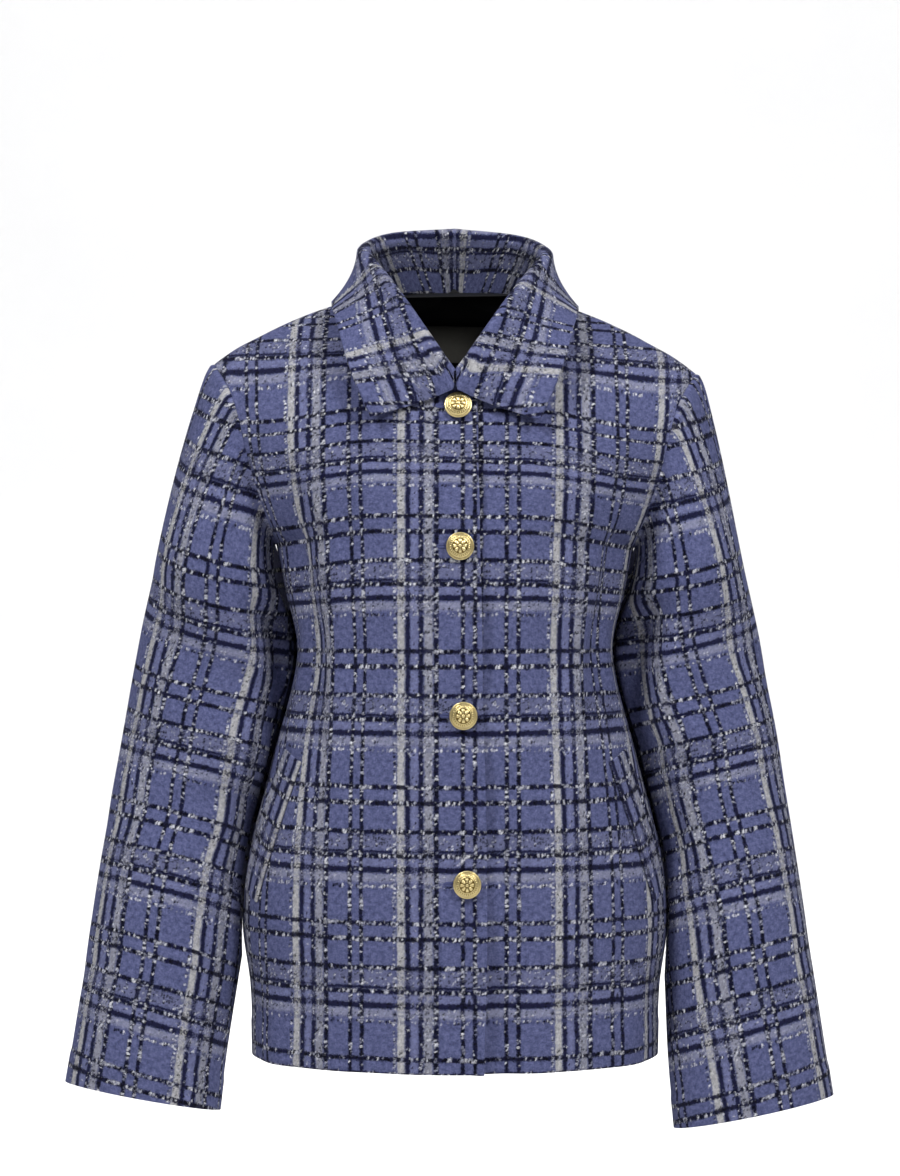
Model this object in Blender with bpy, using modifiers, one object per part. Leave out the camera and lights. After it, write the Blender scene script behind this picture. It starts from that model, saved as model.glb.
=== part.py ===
"""A lined boucle jacket, filled out as if worn and open at neck, hem and cuffs.

Two fronts that lap and button, a back, two set-in sleeves, a turned-down collar, two slanting pocket
welts, four domed shank buttons, and the back neck lining with its blank label. Each is one closed wall or
turned piece.

Tables are in millimetres and the model is in metres. +Z is up, the front faces -Y, and +X is the wearer's
left. The origin is on the middle line at the base of the neck, where the wearer's shoulders hold the jacket.
"""

import math
from collections import namedtuple

import bmesh
import bpy
from mathutils import Matrix, Vector

MM = 0.001

# Cloth
CLOTH = 2.6
COLLAR_CLOTH = 3.0
WELT_CLOTH = 2.2
LINING_CLOTH = 1.0
LABEL_CLOTH = 0.8
SEAM_GAP = 0.4
ARMHOLE_GAP = 0.7

# How far the cloth keeps its starting direction along a section, as shares of the section's width and chord
INNER_REACH = 0.56
OUTER_REACH = 0.33

# The half jacket in sections, from the front hem up over the shoulder and down to the back hem. A section
# runs from its inner end, on the middle line or the neckline, to its outer end, on the side seam or the
# armhole. turn is the way the cloth runs at the outer end, in degrees from outwards towards the back. lap is
# how far the upper front reaches past the middle line.
Section = namedtuple("Section", "name in_x in_y in_z out_x out_y out_z turn lap")
SECTIONS = [
    Section("front hem", 0, -122, -657, 178, 4, -657, 90, 24),
    Section("front skirt", 0, -123, -598, 180, 4, -598, 90, 26),
    Section("front hip", 0, -124, -540, 187, 4, -540, 90, 27),
    Section("front pocket", 0, -124, -480, 181, 4, -480, 90, 27),
    Section("front ribs", 0, -123, -400, 161, 4, -400, 90, 25),
    Section("front waist", 0, -122, -310, 139, 4, -310, 90, 23),
    Section("front bust", 0, -122, -250, 150, 4, -250, 90, 22),
    Section("front underarm", 0, -120, -205, 157, 4, -214, 90, 21),
    Section("front armhole foot", 0, -117, -180, 158, -24, -206, 80, 21),
    Section("front armhole low", 0, -112, -150, 167, -45, -179, 66, 20),
    Section("front armhole middle", 0, -104, -116, 178, -54, -143, 50, 20),
    Section("front neck", 0, -90, -75, 186, -50, -110, 38, 19),
    Section("front neck curve", 22, -85, -70, 193, -39, -88, 28, 0),
    Section("front neck side", 48, -67, -51, 200, -26, -72, 19, 0),
    Section("front neck top", 65, -36, -22, 207, -11, -59, 9, 0),
    Section("shoulder", 72, 5, 6, 212, 4, -50, 0, 0),
    Section("back neck top", 66, 34, 11, 209, 20, -57, -9, 0),
    Section("back neck curve", 42, 56, 14, 205, 35, -72, -18, 0),
    Section("back neck", 0, 66, 15, 199, 48, -91, -28, 0),
    Section("back yoke", 0, 84, -35, 192, 57, -116, -39, 0),
    Section("back armhole middle", 0, 96, -92, 182, 60, -148, -50, 0),
    Section("back armhole low", 0, 101, -150, 170, 50, -182, -66, 0),
    Section("back armhole foot", 0, 102, -188, 158.5, 27, -207, -80, 0),
    Section("back underarm", 0, 101, -214, 157, 4, -214, -90, 0),
    Section("back bust", 0, 98, -252, 150, 4, -250, -90, 0),
    Section("back waist", 0, 94, -310, 139, 4, -310, -90, 0),
    Section("back ribs", 0, 97, -400, 161, 4, -400, -90, 0),
    Section("back pocket", 0, 104, -480, 181, 4, -480, -90, 0),
    Section("back hip", 0, 108, -540, 187, 4, -540, -90, 0),
    Section("back skirt", 0, 110, -598, 180, 4, -598, -90, 0),
    Section("back hem", 0, 110, -657, 178, 4, -657, -90, 0),
]
ROW = {section.name: index for index, section in enumerate(SECTIONS)}
INNER_CORNERS = {ROW["front neck"], ROW["back neck"]}
OUTER_CORNERS = {ROW["front underarm"], ROW["back underarm"]}
SIDE_SEAM_Y = 4

# The shoulder's tip is rounded: from a share of the section on, the cloth falls away towards the armhole, by
# the whole drop on the shoulder seam and less on the sections before and behind it.
TIP_DROP = 6
TIP_START = 0.78
TIP_ROWS = 3.2

# It hangs a little askew: the wearer's right shoulder is the higher. The lift for each step across is full
# above the first height and gone below the second.
SHOULDER_TILT = 0.02
TILT_FULL_Z = -100
TILT_GONE_Z = -320

# The under front stays this far past the middle line, and drops behind the upper one near its edge
UNDER_LAP = 18
LAP_DROP = CLOTH + 0.9
LAP_FULL_X = 31
LAP_FREE_X = 58

# Largest soft folds: the middle of each in girth from the middle line and height, the way it runs in degrees
# from upright, its half length and half width, and how far it stands out (or in, when negative).
Fold = namedtuple("Fold", "girth z lean length width height")
FRONT_FOLDS = {
    -1: [Fold(150, -250, 8, 90, 20, -7), Fold(118, -260, 4, 110, 17, 5), Fold(176, -330, -24, 80, 16, 6),
         Fold(170, -640, 6, 90, 22, 4), Fold(70, -610, 0, 110, 26, -3)],
    1: [Fold(152, -255, 10, 80, 19, -7), Fold(122, -270, 5, 100, 17, 5), Fold(180, -335, -22, 75, 16, 6),
        Fold(46, -600, 0, 150, 18, -4), Fold(165, -630, 5, 90, 22, 4)],
}
BACK_FOLDS = [Fold(60, -560, 2, 150, 26, 5), Fold(112, -590, -4, 130, 24, -5), Fold(120, -300, 14, 90, 18, 5),
              Fold(92, -230, 20, 80, 17, -4)]

# Sleeve sections from the upper arm to the cuff: height of the middle, the outline's outer and inner reach
# from the middle line, how far back the middle hangs, half the depth, and the tilt of the section in degrees.
# Where the inner reach would enter the body, the sleeve rests against the body's side instead, just clear.
SleeveRing = namedtuple("SleeveRing", "z outer inner y depth tilt")
SLEEVES = {
    -1: [
        SleeveRing(-238, 267, 150, 9, 68, 6),
        SleeveRing(-320, 283, 124, 20, 65, 7),
        SleeveRing(-400, 297, 146, 19, 63, 8),
        SleeveRing(-480, 310, 174, 8, 61, 8.5),
        SleeveRing(-560, 321, 186, -6, 59, 9),
        SleeveRing(-640, 332, 198, -17, 56, 10),
        SleeveRing(-691, 340, 204, -23, 53, 10.5),
    ],
    1: [
        SleeveRing(-238, 256, 150, 9, 68, 6),
        SleeveRing(-320, 274, 124, 19, 65, 7),
        SleeveRing(-400, 287, 146, 18, 63, 8),
        SleeveRing(-480, 299, 174, 8, 61, 8.5),
        SleeveRing(-560, 310, 182, -4, 59, 9),
        SleeveRing(-645, 322, 185, -14, 56, 11),
        SleeveRing(-705, 331, 190, -20, 53, 12),
    ],
}
REST_CLEARANCE = 3.4
UNDERARM_CLEARANCE = 7.0
UNDERARM_CLEAR_DEPTH = 40
# Soft folds across a sleeve: where along it (0 at the upper arm, 1 at the cuff) and round it (0 outside, 90
# front), the spread along and round, the slant and the height.
SleeveFold = namedtuple("SleeveFold", "along angle length spread slant height")
SLEEVE_FOLDS = {
    -1: [SleeveFold(0.30, 120, 0.045, 60, 0.05, 5), SleeveFold(0.42, 100, 0.05, 70, -0.04, -4),
         SleeveFold(0.10, 60, 0.06, 55, 0.08, -5), SleeveFold(0.38, 265, 0.05, 60, 0.03, 5)],
    1: [SleeveFold(0.26, 110, 0.045, 60, -0.05, 5), SleeveFold(0.46, 120, 0.05, 60, 0.04, -4),
        SleeveFold(0.10, 65, 0.06, 50, -0.08, -5), SleeveFold(0.36, 270, 0.05, 60, -0.03, 5)],
}
CAP_SHARES = (0.0, 0.04, 0.12, 0.24, 0.40, 0.58, 0.78, 1.0)
CAP_LEAD = 1.6
HEAD_FULLNESS = 56
UNDERARM_FULLNESS = 24
CAP_FALL = 120
UNDERARM_FALL = 55

# Half the collar in stations from its front end to the middle of the back: the share of the neckline passed,
# the top of the fold and the free edge of the fall. The first station is the collar's front edge, down to its
# point.
Station = namedtuple("Station", "share fold_x fold_y fold_z edge_x edge_y edge_z")
COLLAR = [
    Station(0.00, 2, -102, -65, 71, -113, -106),
    Station(0.12, 20, -95, -38, 83, -108, -80),
    Station(0.28, 41, -79, -7, 94, -92, -50),
    Station(0.44, 60, -52, 20, 102, -62, -22),
    Station(0.60, 76, -18, 41, 107, -18, -4),
    Station(0.76, 79, 20, 54, 104, 34, 4),
    Station(0.89, 56, 56, 68, 74, 76, 4),
    Station(1.00, 0, 73, 75, 0, 86, 0),
]
FOLD_RADIUS = 4.6
STAND_INSET = 0.7
STAND_LIFT = 1.2
FALL_BOW = 0.45
FALL_SHARES = (0.1, 0.32, 0.55, 0.78, 1.0)
# The front edge starts with a corner below the fold: where it lies from the fold's end, the share of the edge
# it takes, and how many stations it fades over.
CORNER_DIP = Vector((-11, -5, -10))
CORNER_SHARE = 0.12
CORNER_STATIONS = 1.0

# Pocket welts on the fronts: the seam runs from its upper end to its lower end, in girth from the middle line
# and height. The welt reaches back from it by its width, and its free edge stands open.
WELT_TOP = (146, -398)
WELT_FOOT = (191, -520)
WELT_WIDTH = 29
WELT_GAPE = 2.2

# Buttons: height of each on the upper front, and how far they stand back from its edge
BUTTON_HEIGHTS = (-95, -214, -356, -497)
BUTTON_INSET = 17
BUTTON_RADIUS = 11.8
BUTTON_RIM = 1.1
BUTTON_DOME = 4.4
SHANK_RADIUS = 3.0
SHANK_LENGTH = 2.4

# Back neck lining and label, inside the back
LINING_HEAD = ROW["back neck top"]
LINING_FOOT = ROW["back armhole low"]
LINING_COLUMNS = 6
LINING_GAP = 1.6
LABEL_HALF_WIDTH = 33
LABEL_TOP = -10
LABEL_FOOT = -43

# Mesh density
FRONT_COLUMNS = 11
BACK_COLUMNS = 9
SLEEVE_STEPS = 12
COLLAR_STATIONS = 16
BUTTON_STEPS = 20

# Colours and finish: red, green, blue, roughness, metallic
FINISHES = {
    "boucle": (0.155, 0.185, 0.40, 0.95, 0.0),
    "lining": (0.006, 0.007, 0.012, 0.60, 0.0),
    "label": (0.045, 0.045, 0.045, 0.80, 0.0),
    "gold": (0.83, 0.62, 0.22, 0.25, 1.0),
}


def smooth(share):
    """0 to 1 with level ends."""
    share = min(1.0, max(0.0, share))
    return share * share * (3 - 2 * share)


def through(values, place, corners=()):
    """The smooth curve through evenly numbered values, which may bend sharply at the numbers in corners."""
    last = len(values) - 1
    i = min(int(place), last - 1)
    t = place - i
    step = values[i + 1] - values[i]
    start = step if i == 0 or i in corners else (values[i + 1] - values[i - 1]) / 2
    end = step if i + 1 == last or i + 1 in corners else (values[i + 2] - values[i]) / 2
    t2, t3 = t * t, t * t * t
    return ((2 * t3 - 3 * t2 + 1) * values[i] + (t3 - 2 * t2 + t) * start
            + (3 * t2 - 2 * t3) * values[i + 1] + (t3 - t2) * end)


INNER = [[getattr(s, name) for s in SECTIONS] for name in ("in_x", "in_y", "in_z")]
OUTER = [[getattr(s, name) for s in SECTIONS] for name in ("out_x", "out_y", "out_z")]
TURNS = [s.turn for s in SECTIONS]
LAPS = [s.lap for s in SECTIONS]


def inner_end(row):
    return Vector([through(values, row, INNER_CORNERS) for values in INNER])


def tip_drop(row):
    """How far the rounded tip of the shoulder falls at a row."""
    return TIP_DROP * smooth(1 - abs(row - ROW["shoulder"]) / TIP_ROWS)


def outer_end(row):
    end = Vector([through(values, row, OUTER_CORNERS) for values in OUTER])
    end.z -= tip_drop(row)
    return end


def middle_slope(row):
    """How far the middle line goes back for each step up, at a row; it fades out along the neckline."""
    step = 0.05
    if row <= ROW["shoulder"]:
        low, high = max(0.0, min(row, ROW["front neck"]) - step), min(row + step, ROW["front neck"])
    else:
        low = max(row - step, ROW["back neck"])
        high = min(max(row, ROW["back neck"]) + step, len(SECTIONS) - 1)
    run = inner_end(high) - inner_end(low)
    return run.y / run.z * (1 - inner_end(row).x / SECTIONS[ROW["shoulder"]].in_x)


def body(share, row):
    """A point of the half jacket's outer face, share of the way along a section from its inner end. A section
    leaves the middle line along the line's own slope, so that the two halves meet without a ridge."""
    if share < 0:
        across = body(-share, row)
        return Vector((2 * inner_end(row).x - across.x, across.y, across.z))
    start, end = inner_end(row), outer_end(row)
    turn = math.radians(through(TURNS, row))
    reach = OUTER_REACH * math.hypot(end.x - start.x, end.y - start.y)
    rise = middle_slope(row) * (end.z - start.z) / 3
    first = Vector((start.x + INNER_REACH * (end.x - start.x), start.y + rise, 0))
    second = Vector((end.x - reach * math.cos(turn), end.y - reach * math.sin(turn), 0))
    back, t = 1 - share, share
    point = back ** 3 * start + 3 * back * back * t * first + 3 * back * t * t * second + t ** 3 * end
    drop, rounded = tip_drop(row), max(0.0, share - TIP_START) / (1 - TIP_START)
    point.z = start.z + (end.z + drop - start.z) * share - drop * rounded ** 2
    return point


def slope(function, share, row, along, step=0.002):
    """How a surface point moves along its share or its row."""
    if along == "share":
        return (function(share + step, row) - function(share - step, row)) / (2 * step)
    low, high = max(0.0, row - step), min(len(SECTIONS) - 1, row + step)
    return (function(share, high) - function(share, low)) / (high - low)


def body_normal(share, row):
    return slope(body, share, row, "share").cross(slope(body, share, row, "row")).normalized()


def girth_of(share, row, steps=12):
    """Length of cloth from the inner end to a point of a section."""
    points = [body(share * i / steps, row) for i in range(steps + 1)]
    return math.copysign(sum((b - a).length for a, b in zip(points, points[1:])), share)


def fold_height(folds, girth, z):
    """How far the soft folds move the cloth out at a place."""
    height = 0.0
    for fold in folds:
        lean = math.radians(fold.lean)
        across, up = girth - fold.girth, z - fold.z
        along = up * math.cos(lean) + across * math.sin(lean)
        aside = across * math.cos(lean) - up * math.sin(lean)
        height += fold.height * math.exp(-((along / fold.length) ** 2) - (aside / fold.width) ** 2)
    return height


def cloth_point(share, row, folds, out=0.0):
    """A point of the body with its folds, moved out along the cloth's normal. Folds fade at the seams."""
    point, normal = body(share, row), body_normal(share, row)
    fade = smooth((0.92 - share) / 0.25) if share > 0 else 1.0
    return point + normal * (fold_height(folds, girth_of(share, row), point.z) * fade + out)


def seam_share(row):
    """The share where a section stops, half a seam gap short of its outer end."""
    return 1 - SEAM_GAP / 2 / slope(body, 1.0, row, "share").length


def rows_between(first, last, steps=2):
    """Row places from one section to another, with a number of steps for each section passed."""
    return [first + k / steps for k in range((last - first) * steps + 1)]


SHOULDER_STOP = SEAM_GAP / 2 / slope(body, 1.0, ROW["shoulder"] - 0.1, "row").length
FRONT_ROWS = rows_between(0, ROW["shoulder"])
FRONT_ROWS[-1] -= SHOULDER_STOP
BACK_ROWS = rows_between(ROW["shoulder"], ROW["back hem"])
BACK_ROWS[0] += SHOULDER_STOP


def material(name):
    """One finish as a Principled material."""
    found = bpy.data.materials.get(name)
    if found:
        return found
    red, green, blue, roughness, metallic = FINISHES[name]
    made = bpy.data.materials.new(name)
    made.use_nodes = True
    shader = made.node_tree.nodes["Principled BSDF"]
    shader.inputs["Base Color"].default_value = (red, green, blue, 1)
    shader.inputs["Roughness"].default_value = roughness
    shader.inputs["Metallic"].default_value = metallic
    return made


def hung(point):
    """A point of the level jacket where it lies as it hangs askew."""
    share = smooth((point.z - TILT_GONE_Z) / (TILT_FULL_Z - TILT_GONE_Z))
    return Vector((point.x, point.y, point.z - SHOULDER_TILT * point.x * share))


def sheet_mesh(grid, closed=False, mirrored=False):
    """An open sheet through a grid of points in millimetres, rows first. closed joins the last column to the
    first; mirrored adds the other half across the middle plane."""
    bm = bmesh.new()
    rows, columns = len(grid), len(grid[0]) + (1 if closed else 0)
    made = bmesh.ops.create_grid(bm, x_segments=columns - 1, y_segments=rows - 1, size=0.5)
    for index, vertex in enumerate(made["verts"]):
        row, column = divmod(index, columns)
        vertex.co = grid[row][column % len(grid[0])] * MM
    if closed:
        bmesh.ops.remove_doubles(bm, verts=bm.verts[:], dist=1e-6)
    if mirrored:
        half = bm.verts[:] + bm.edges[:] + bm.faces[:]
        bmesh.ops.mirror(bm, geom=half, matrix=Matrix(), merge_dist=1e-5, axis="X")
        bmesh.ops.recalc_face_normals(bm, faces=bm.faces[:])
    for vertex in bm.verts:
        vertex.co = hung(vertex.co / MM) * MM
    return bm


def face_along(bm, outward):
    """Turns the sheet's faces so that the first one looks along a direction."""
    bm.normal_update()
    bm.faces.ensure_lookup_table()
    if bm.faces[0].normal.dot(outward) < 0:
        bmesh.ops.reverse_faces(bm, faces=bm.faces[:])


def face_back(bm):
    """Turns a sheet that runs across the back so that its lowest middle face looks back."""
    bm.normal_update()
    middles = {face: face.calc_center_median() for face in bm.faces}
    lowest = min(bm.faces, key=lambda face: middles[face].z + abs(middles[face].x))
    if lowest.normal.y < 0:
        bmesh.ops.reverse_faces(bm, faces=bm.faces[:])


def add_object(name, mesh, finish, parent):
    obj = bpy.data.objects.new(name, mesh)
    mesh.materials.append(material(finish))
    jacket.objects.link(obj)
    obj.parent = parent
    return obj


def add_wall(name, bm, thickness, finish, parent, side=1.0):
    """A sheet made a wall. side 1 thickens along the face normals, 0 to both sides."""
    mesh = bpy.data.meshes.new(name)
    bm.to_mesh(mesh)
    bm.free()
    mesh.shade_smooth()
    obj = add_object(name, mesh, finish, parent)
    solidify = obj.modifiers.new("wall", "SOLIDIFY")
    solidify.thickness = thickness * MM
    solidify.offset = side
    solidify.use_even_offset = True
    solidify.use_quality_normals = True
    return obj


def mirror_point(point, side):
    return Vector((point.x * side, point.y, point.z))


def front_point(side, share, row, out=0.0):
    """A point of one front in the half jacket's own coordinates, the under front set back behind the lap."""
    point = cloth_point(share, row, FRONT_FOLDS[side], out)
    if side == 1:
        drop = LAP_DROP * smooth((LAP_FREE_X - point.x) / (LAP_FREE_X - LAP_FULL_X))
        point -= body_normal(share, row) * drop
    return point


def lap_share(side, row):
    """The share, below 0, where a front's edge lies past the middle line."""
    if row > ROW["front neck"]:
        return 0.0
    lap = through(LAPS, row, INNER_CORNERS) if side == -1 else UNDER_LAP
    return -lap / slope(body, 0.0, row, "share").length


def add_front(side, name, parent):
    """One front, from its edge past the middle line to the side seam, armhole and shoulder."""
    grid = []
    for row in FRONT_ROWS:
        start, stop = lap_share(side, row), seam_share(row)
        shares = [start + (stop - start) * k / FRONT_COLUMNS for k in range(FRONT_COLUMNS + 1)]
        grid.append([mirror_point(front_point(side, share, row, -CLOTH), side) for share in shares])
    bm = sheet_mesh(grid)
    face_along(bm, Vector((0, -1, 0)))
    return add_wall(name, bm, CLOTH, "boucle", parent)


def back_shares(row):
    """Shares of the columns of the back at one row."""
    stop = seam_share(row)
    return [stop * k / BACK_COLUMNS for k in range(BACK_COLUMNS + 1)]


def add_back(parent):
    """The back in one piece, from the shoulders to the hem."""
    grid = []
    for row in BACK_ROWS:
        grid.append([cloth_point(share, row, BACK_FOLDS, -CLOTH) for share in back_shares(row)])
    bm = sheet_mesh(grid, mirrored=True)
    face_back(bm)
    return add_wall("back", bm, CLOTH, "boucle", parent)


def armhole():
    """Rows round the armhole, from the shoulder down the front to the underarm and up the back, each with its
    angle round the sleeve. They are the rows of the fronts and the back, so the corners match."""
    front = [row for row in reversed(FRONT_ROWS) if row >= ROW["front underarm"]]
    back = [row for row in reversed(BACK_ROWS) if row <= ROW["back underarm"]]
    found = []
    for rows, first in ((front, 0.0), (back, math.pi)):
        points = [outer_end(row) for row in rows]
        run = [0.0]
        for a, b in zip(points, points[1:]):
            run.append(run[-1] + (b - a).length)
        found += [(row, first + math.pi * length / run[-1]) for row, length in zip(rows, run)][:-1]
    return found


def armhole_frame(row):
    """The armhole edge at a place: its outer point, the cloth's normal, and the way the cloth would go on."""
    step = 0.02
    toward_underarm = -1 if row <= ROW["shoulder"] else 1
    here = min(max(row, ROW["front underarm"] + step), ROW["back underarm"] - step)
    normal = body_normal(0.999, here)
    edge = (outer_end(here + step) - outer_end(here - step)) * toward_underarm
    onward = normal.cross(edge).normalized()
    away = outer_end(here) - body(0.97, here)
    if onward.dot(away) < 0:
        onward = -onward
    return outer_end(row), normal, onward


def body_reach(y, z):
    """How far the body's side reaches out at a depth and a height below the underarm, or nothing past it."""
    front = y < SIDE_SEAM_Y
    first, last = ("front hem", "front underarm") if front else ("back underarm", "back hem")
    low, high = float(ROW[first]), float(ROW[last])
    for _ in range(24):
        row = (low + high) / 2
        if (body(0.8, row).z < z) == front:
            low = row
        else:
            high = row
    if not front and y > inner_end(row).y or front and y < inner_end(row).y:
        return None
    low, high = 0.0, 1.0
    for _ in range(24):
        share = (low + high) / 2
        if (body(share, row).y < y) == front:
            low = share
        else:
            high = share
    return body(share, row).x


def sleeve_ring(rings, place, angle, folds):
    """A point of a sleeve's outer face below the cap; place 0 is the first ring and 1 the cuff."""
    number = place * (len(rings) - 1)
    z, outer, inner, y, depth, tilt = [
        through([getattr(ring, name) for ring in rings], number) for name in SleeveRing._fields]
    tilt = math.radians(tilt)
    half = (outer - inner) / 2
    fold = 0.0
    degrees = math.degrees(angle) % 360
    for f in folds:
        turn = (degrees - f.angle + 180) % 360 - 180
        along = place - f.along - f.slant * turn / f.spread
        fold += f.height * math.exp(-((along / f.length) ** 2) - (turn / f.spread) ** 2)
    across, forward = (half + fold) * math.cos(angle), (depth + fold) * math.sin(angle)
    heights, depths = [ring.z for ring in rings], [ring.y for ring in rings]
    low, high = max(0.0, number - 0.4), min(len(rings) - 1.0, number + 0.4)
    pitch = (through(depths, high) - through(depths, low)) / (through(heights, high) - through(heights, low))
    point = Vector(((outer + inner) / 2 + across * math.cos(tilt), y - forward,
                    z + across * math.sin(tilt) + forward * pitch))
    reach = body_reach(point.y, point.z) if across < 0 else None
    if reach is not None:
        near_underarm = smooth((point.z - rings[0].z + UNDERARM_CLEAR_DEPTH) / UNDERARM_CLEAR_DEPTH)
        clear = REST_CLEARANCE + (UNDERARM_CLEARANCE - REST_CLEARANCE) * near_underarm
        beside = body_reach(point.y + (1 if point.y < SIDE_SEAM_Y else -1), point.z)
        point.x = max(point.x, reach + clear * min(4, math.hypot(1, beside - reach)))
    return point


def sleeve_grid(side):
    """Rings of a sleeve's outer face, from the armhole over the cap to the cuff, as on the left half."""
    rings, folds = SLEEVES[side], SLEEVE_FOLDS[side]
    places = armhole()
    grid = []
    for share in CAP_SHARES[:-1]:
        ring = []
        for row, angle in places:
            start, normal, onward = armhole_frame(row)
            top = math.cos(angle / 2) ** 2
            end = sleeve_ring(rings, 0.0, angle, folds)
            fall = (sleeve_ring(rings, 0.02, angle, folds) - end).normalized()
            lead = onward * (UNDERARM_FULLNESS + (HEAD_FULLNESS - UNDERARM_FULLNESS) * top)
            drop = fall * (UNDERARM_FALL + (CAP_FALL - UNDERARM_FALL) * top)
            t2, t3 = share ** 2, share ** 3
            origin = start + onward * ARMHOLE_GAP
            point = ((2 * t3 - 3 * t2 + 1) * origin + (t3 - 2 * t2 + share) * lead
                     + (3 * t2 - 2 * t3) * end + (t3 - t2) * drop)
            if share == CAP_SHARES[1]:
                point = origin + onward * CAP_LEAD
            ring.append(point)
        grid.append(ring)
    for k in range(SLEEVE_STEPS + 1):
        grid.append([sleeve_ring(rings, k / SLEEVE_STEPS, angle, folds) for _, angle in places])
    return grid


def inset_grid(grid, depth):
    """A closed tube's rings moved in along their own normals."""
    count, last = len(grid[0]), len(grid) - 1
    moved = []
    for i, ring in enumerate(grid):
        row = []
        for j, point in enumerate(ring):
            round_it = ring[(j + 1) % count] - ring[j - 1]
            down = grid[min(i + 1, last)][j] - grid[max(i - 1, 0)][j]
            row.append(point - round_it.cross(down).normalized() * depth)
        moved.append(row)
    return moved


def add_sleeve(side, name, parent):
    """A set-in sleeve: a tube from the armhole to the cuff."""
    grid = sleeve_grid(side)
    frames = [armhole_frame(row) for row, _ in armhole()]
    inner = inset_grid(grid, -CLOTH)
    if (inner[-1][0] - grid[-1][0]).x > 0:
        inner = inset_grid(grid, CLOTH)
    for ring in (0, 1):
        inner[ring] = [point - normal * CLOTH for point, (_, normal, _) in zip(grid[ring], frames)]
    bm = sheet_mesh([[mirror_point(point, side) for point in ring] for ring in inner], closed=True)
    bm.normal_update()
    outermost = max(bm.faces, key=lambda face: face.calc_center_median().x * side)
    if outermost.normal.x * side < 0:
        bmesh.ops.reverse_faces(bm, faces=bm.faces[:])
    return add_wall(name, bm, CLOTH, "boucle", parent)


NECK_ROWS = [row for row in FRONT_ROWS + BACK_ROWS if ROW["front neck"] <= row <= ROW["back neck"]]
NECK_POINTS = [inner_end(row) for row in NECK_ROWS]


def neckline(share):
    """A point of the panels' neck edge, from the front middle to the back middle, and the level way in."""
    lengths = [(b - a).length for a, b in zip(NECK_POINTS, NECK_POINTS[1:])]
    goal = share * sum(lengths)
    for a, b, length in zip(NECK_POINTS, NECK_POINTS[1:], lengths):
        if goal <= length or b is NECK_POINTS[-1]:
            break
        goal -= length
    point = a.lerp(b, min(1.0, goal / length))
    heading = through_points(NECK_POINTS, share)
    return point, Vector((-heading.y, heading.x, 0)).normalized()


def through_points(points, share):
    """The smoothed way a run of points is heading at a share of its count."""
    last = len(points) - 1
    place = share * last
    low, high = max(0.0, place - 0.7), min(float(last), place + 0.7)
    ends = [Vector([through([p[axis] for p in points], at) for axis in range(3)]) for at in (low, high)]
    return ends[1] - ends[0]


def collar_profile(place):
    """Points of the collar's middle face at one station: up the stand, over the fold and down the fall."""
    columns = {name: [getattr(station, name) for station in COLLAR] for name in Station._fields}
    share, fx, fy, fz, ex, ey, ez = [through(values, place) for values in columns.values()]
    share = min(1.0, max(0.0, share))
    fold, edge = Vector((fx, fy, fz)), Vector((ex, ey, ez))
    seam, inward = neckline(share)
    base = seam + inward * (COLLAR_CLOTH / 2 + STAND_INSET) + Vector((0, 0, STAND_LIFT))
    last = len(COLLAR) - 1
    low, high = max(place - 0.05, 0), min(place + 0.05, last)
    roll = Vector([through(columns[name], high) - through(columns[name], low)
                   for name in ("fold_x", "fold_y", "fold_z")]).normalized()
    if place > last - 0.01:
        roll = Vector((-1, 0, 0))
    down_stand, down_fall = (base - fold), (edge - fold)
    down_stand = (down_stand - roll * down_stand.dot(roll)).normalized()
    down_fall = (down_fall - roll * down_fall.dot(roll)).normalized()
    top = -(down_stand + down_fall).normalized()
    outward = top.cross(roll).normalized()
    if outward.dot(-inward) < 0:
        outward = -outward
    centre = fold - top * FOLD_RADIUS
    arc = [centre + FOLD_RADIUS * (top * math.sin(a) - outward * math.cos(a))
           for a in [math.pi * k / 4 for k in range(5)]]
    stand = [base.lerp(arc[0], k / 3) for k in range(3)]
    control = arc[-1] - top * (edge - arc[-1]).length * FALL_BOW
    dip = CORNER_DIP * smooth(1 - place / CORNER_STATIONS)
    fall = []
    for t in FALL_SHARES:
        point = (1 - t) ** 2 * arc[-1] + 2 * t * (1 - t) * control + t * t * edge
        fall.append(point + dip * (1 - t) * smooth(t / CORNER_SHARE))
    return stand + arc + fall


def add_collar(parent):
    """The turned-down collar in one piece, its two halves joined at the back."""
    last = len(COLLAR) - 1
    grid = [collar_profile(last * k / COLLAR_STATIONS) for k in range(COLLAR_STATIONS + 1)]
    for point in grid[-1]:
        point.x = 0.0
    bm = sheet_mesh(grid, mirrored=True)
    return add_wall("collar", bm, COLLAR_CLOTH, "boucle", parent, side=0.0)


def share_at_girth(girth, row):
    """The share of a section at a length of cloth from the middle line."""
    low, high = 0.0, 1.0
    for _ in range(30):
        middle = (low + high) / 2
        if girth_of(middle, row) < girth:
            low = middle
        else:
            high = middle
    return low


def row_at_height(z):
    """The front section place at a height on the side of the jacket."""
    low, high = 0.0, float(ROW["front underarm"])
    for _ in range(30):
        middle = (low + high) / 2
        if body(0.7, middle).z < z:
            low = middle
        else:
            high = middle
    return low


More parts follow.
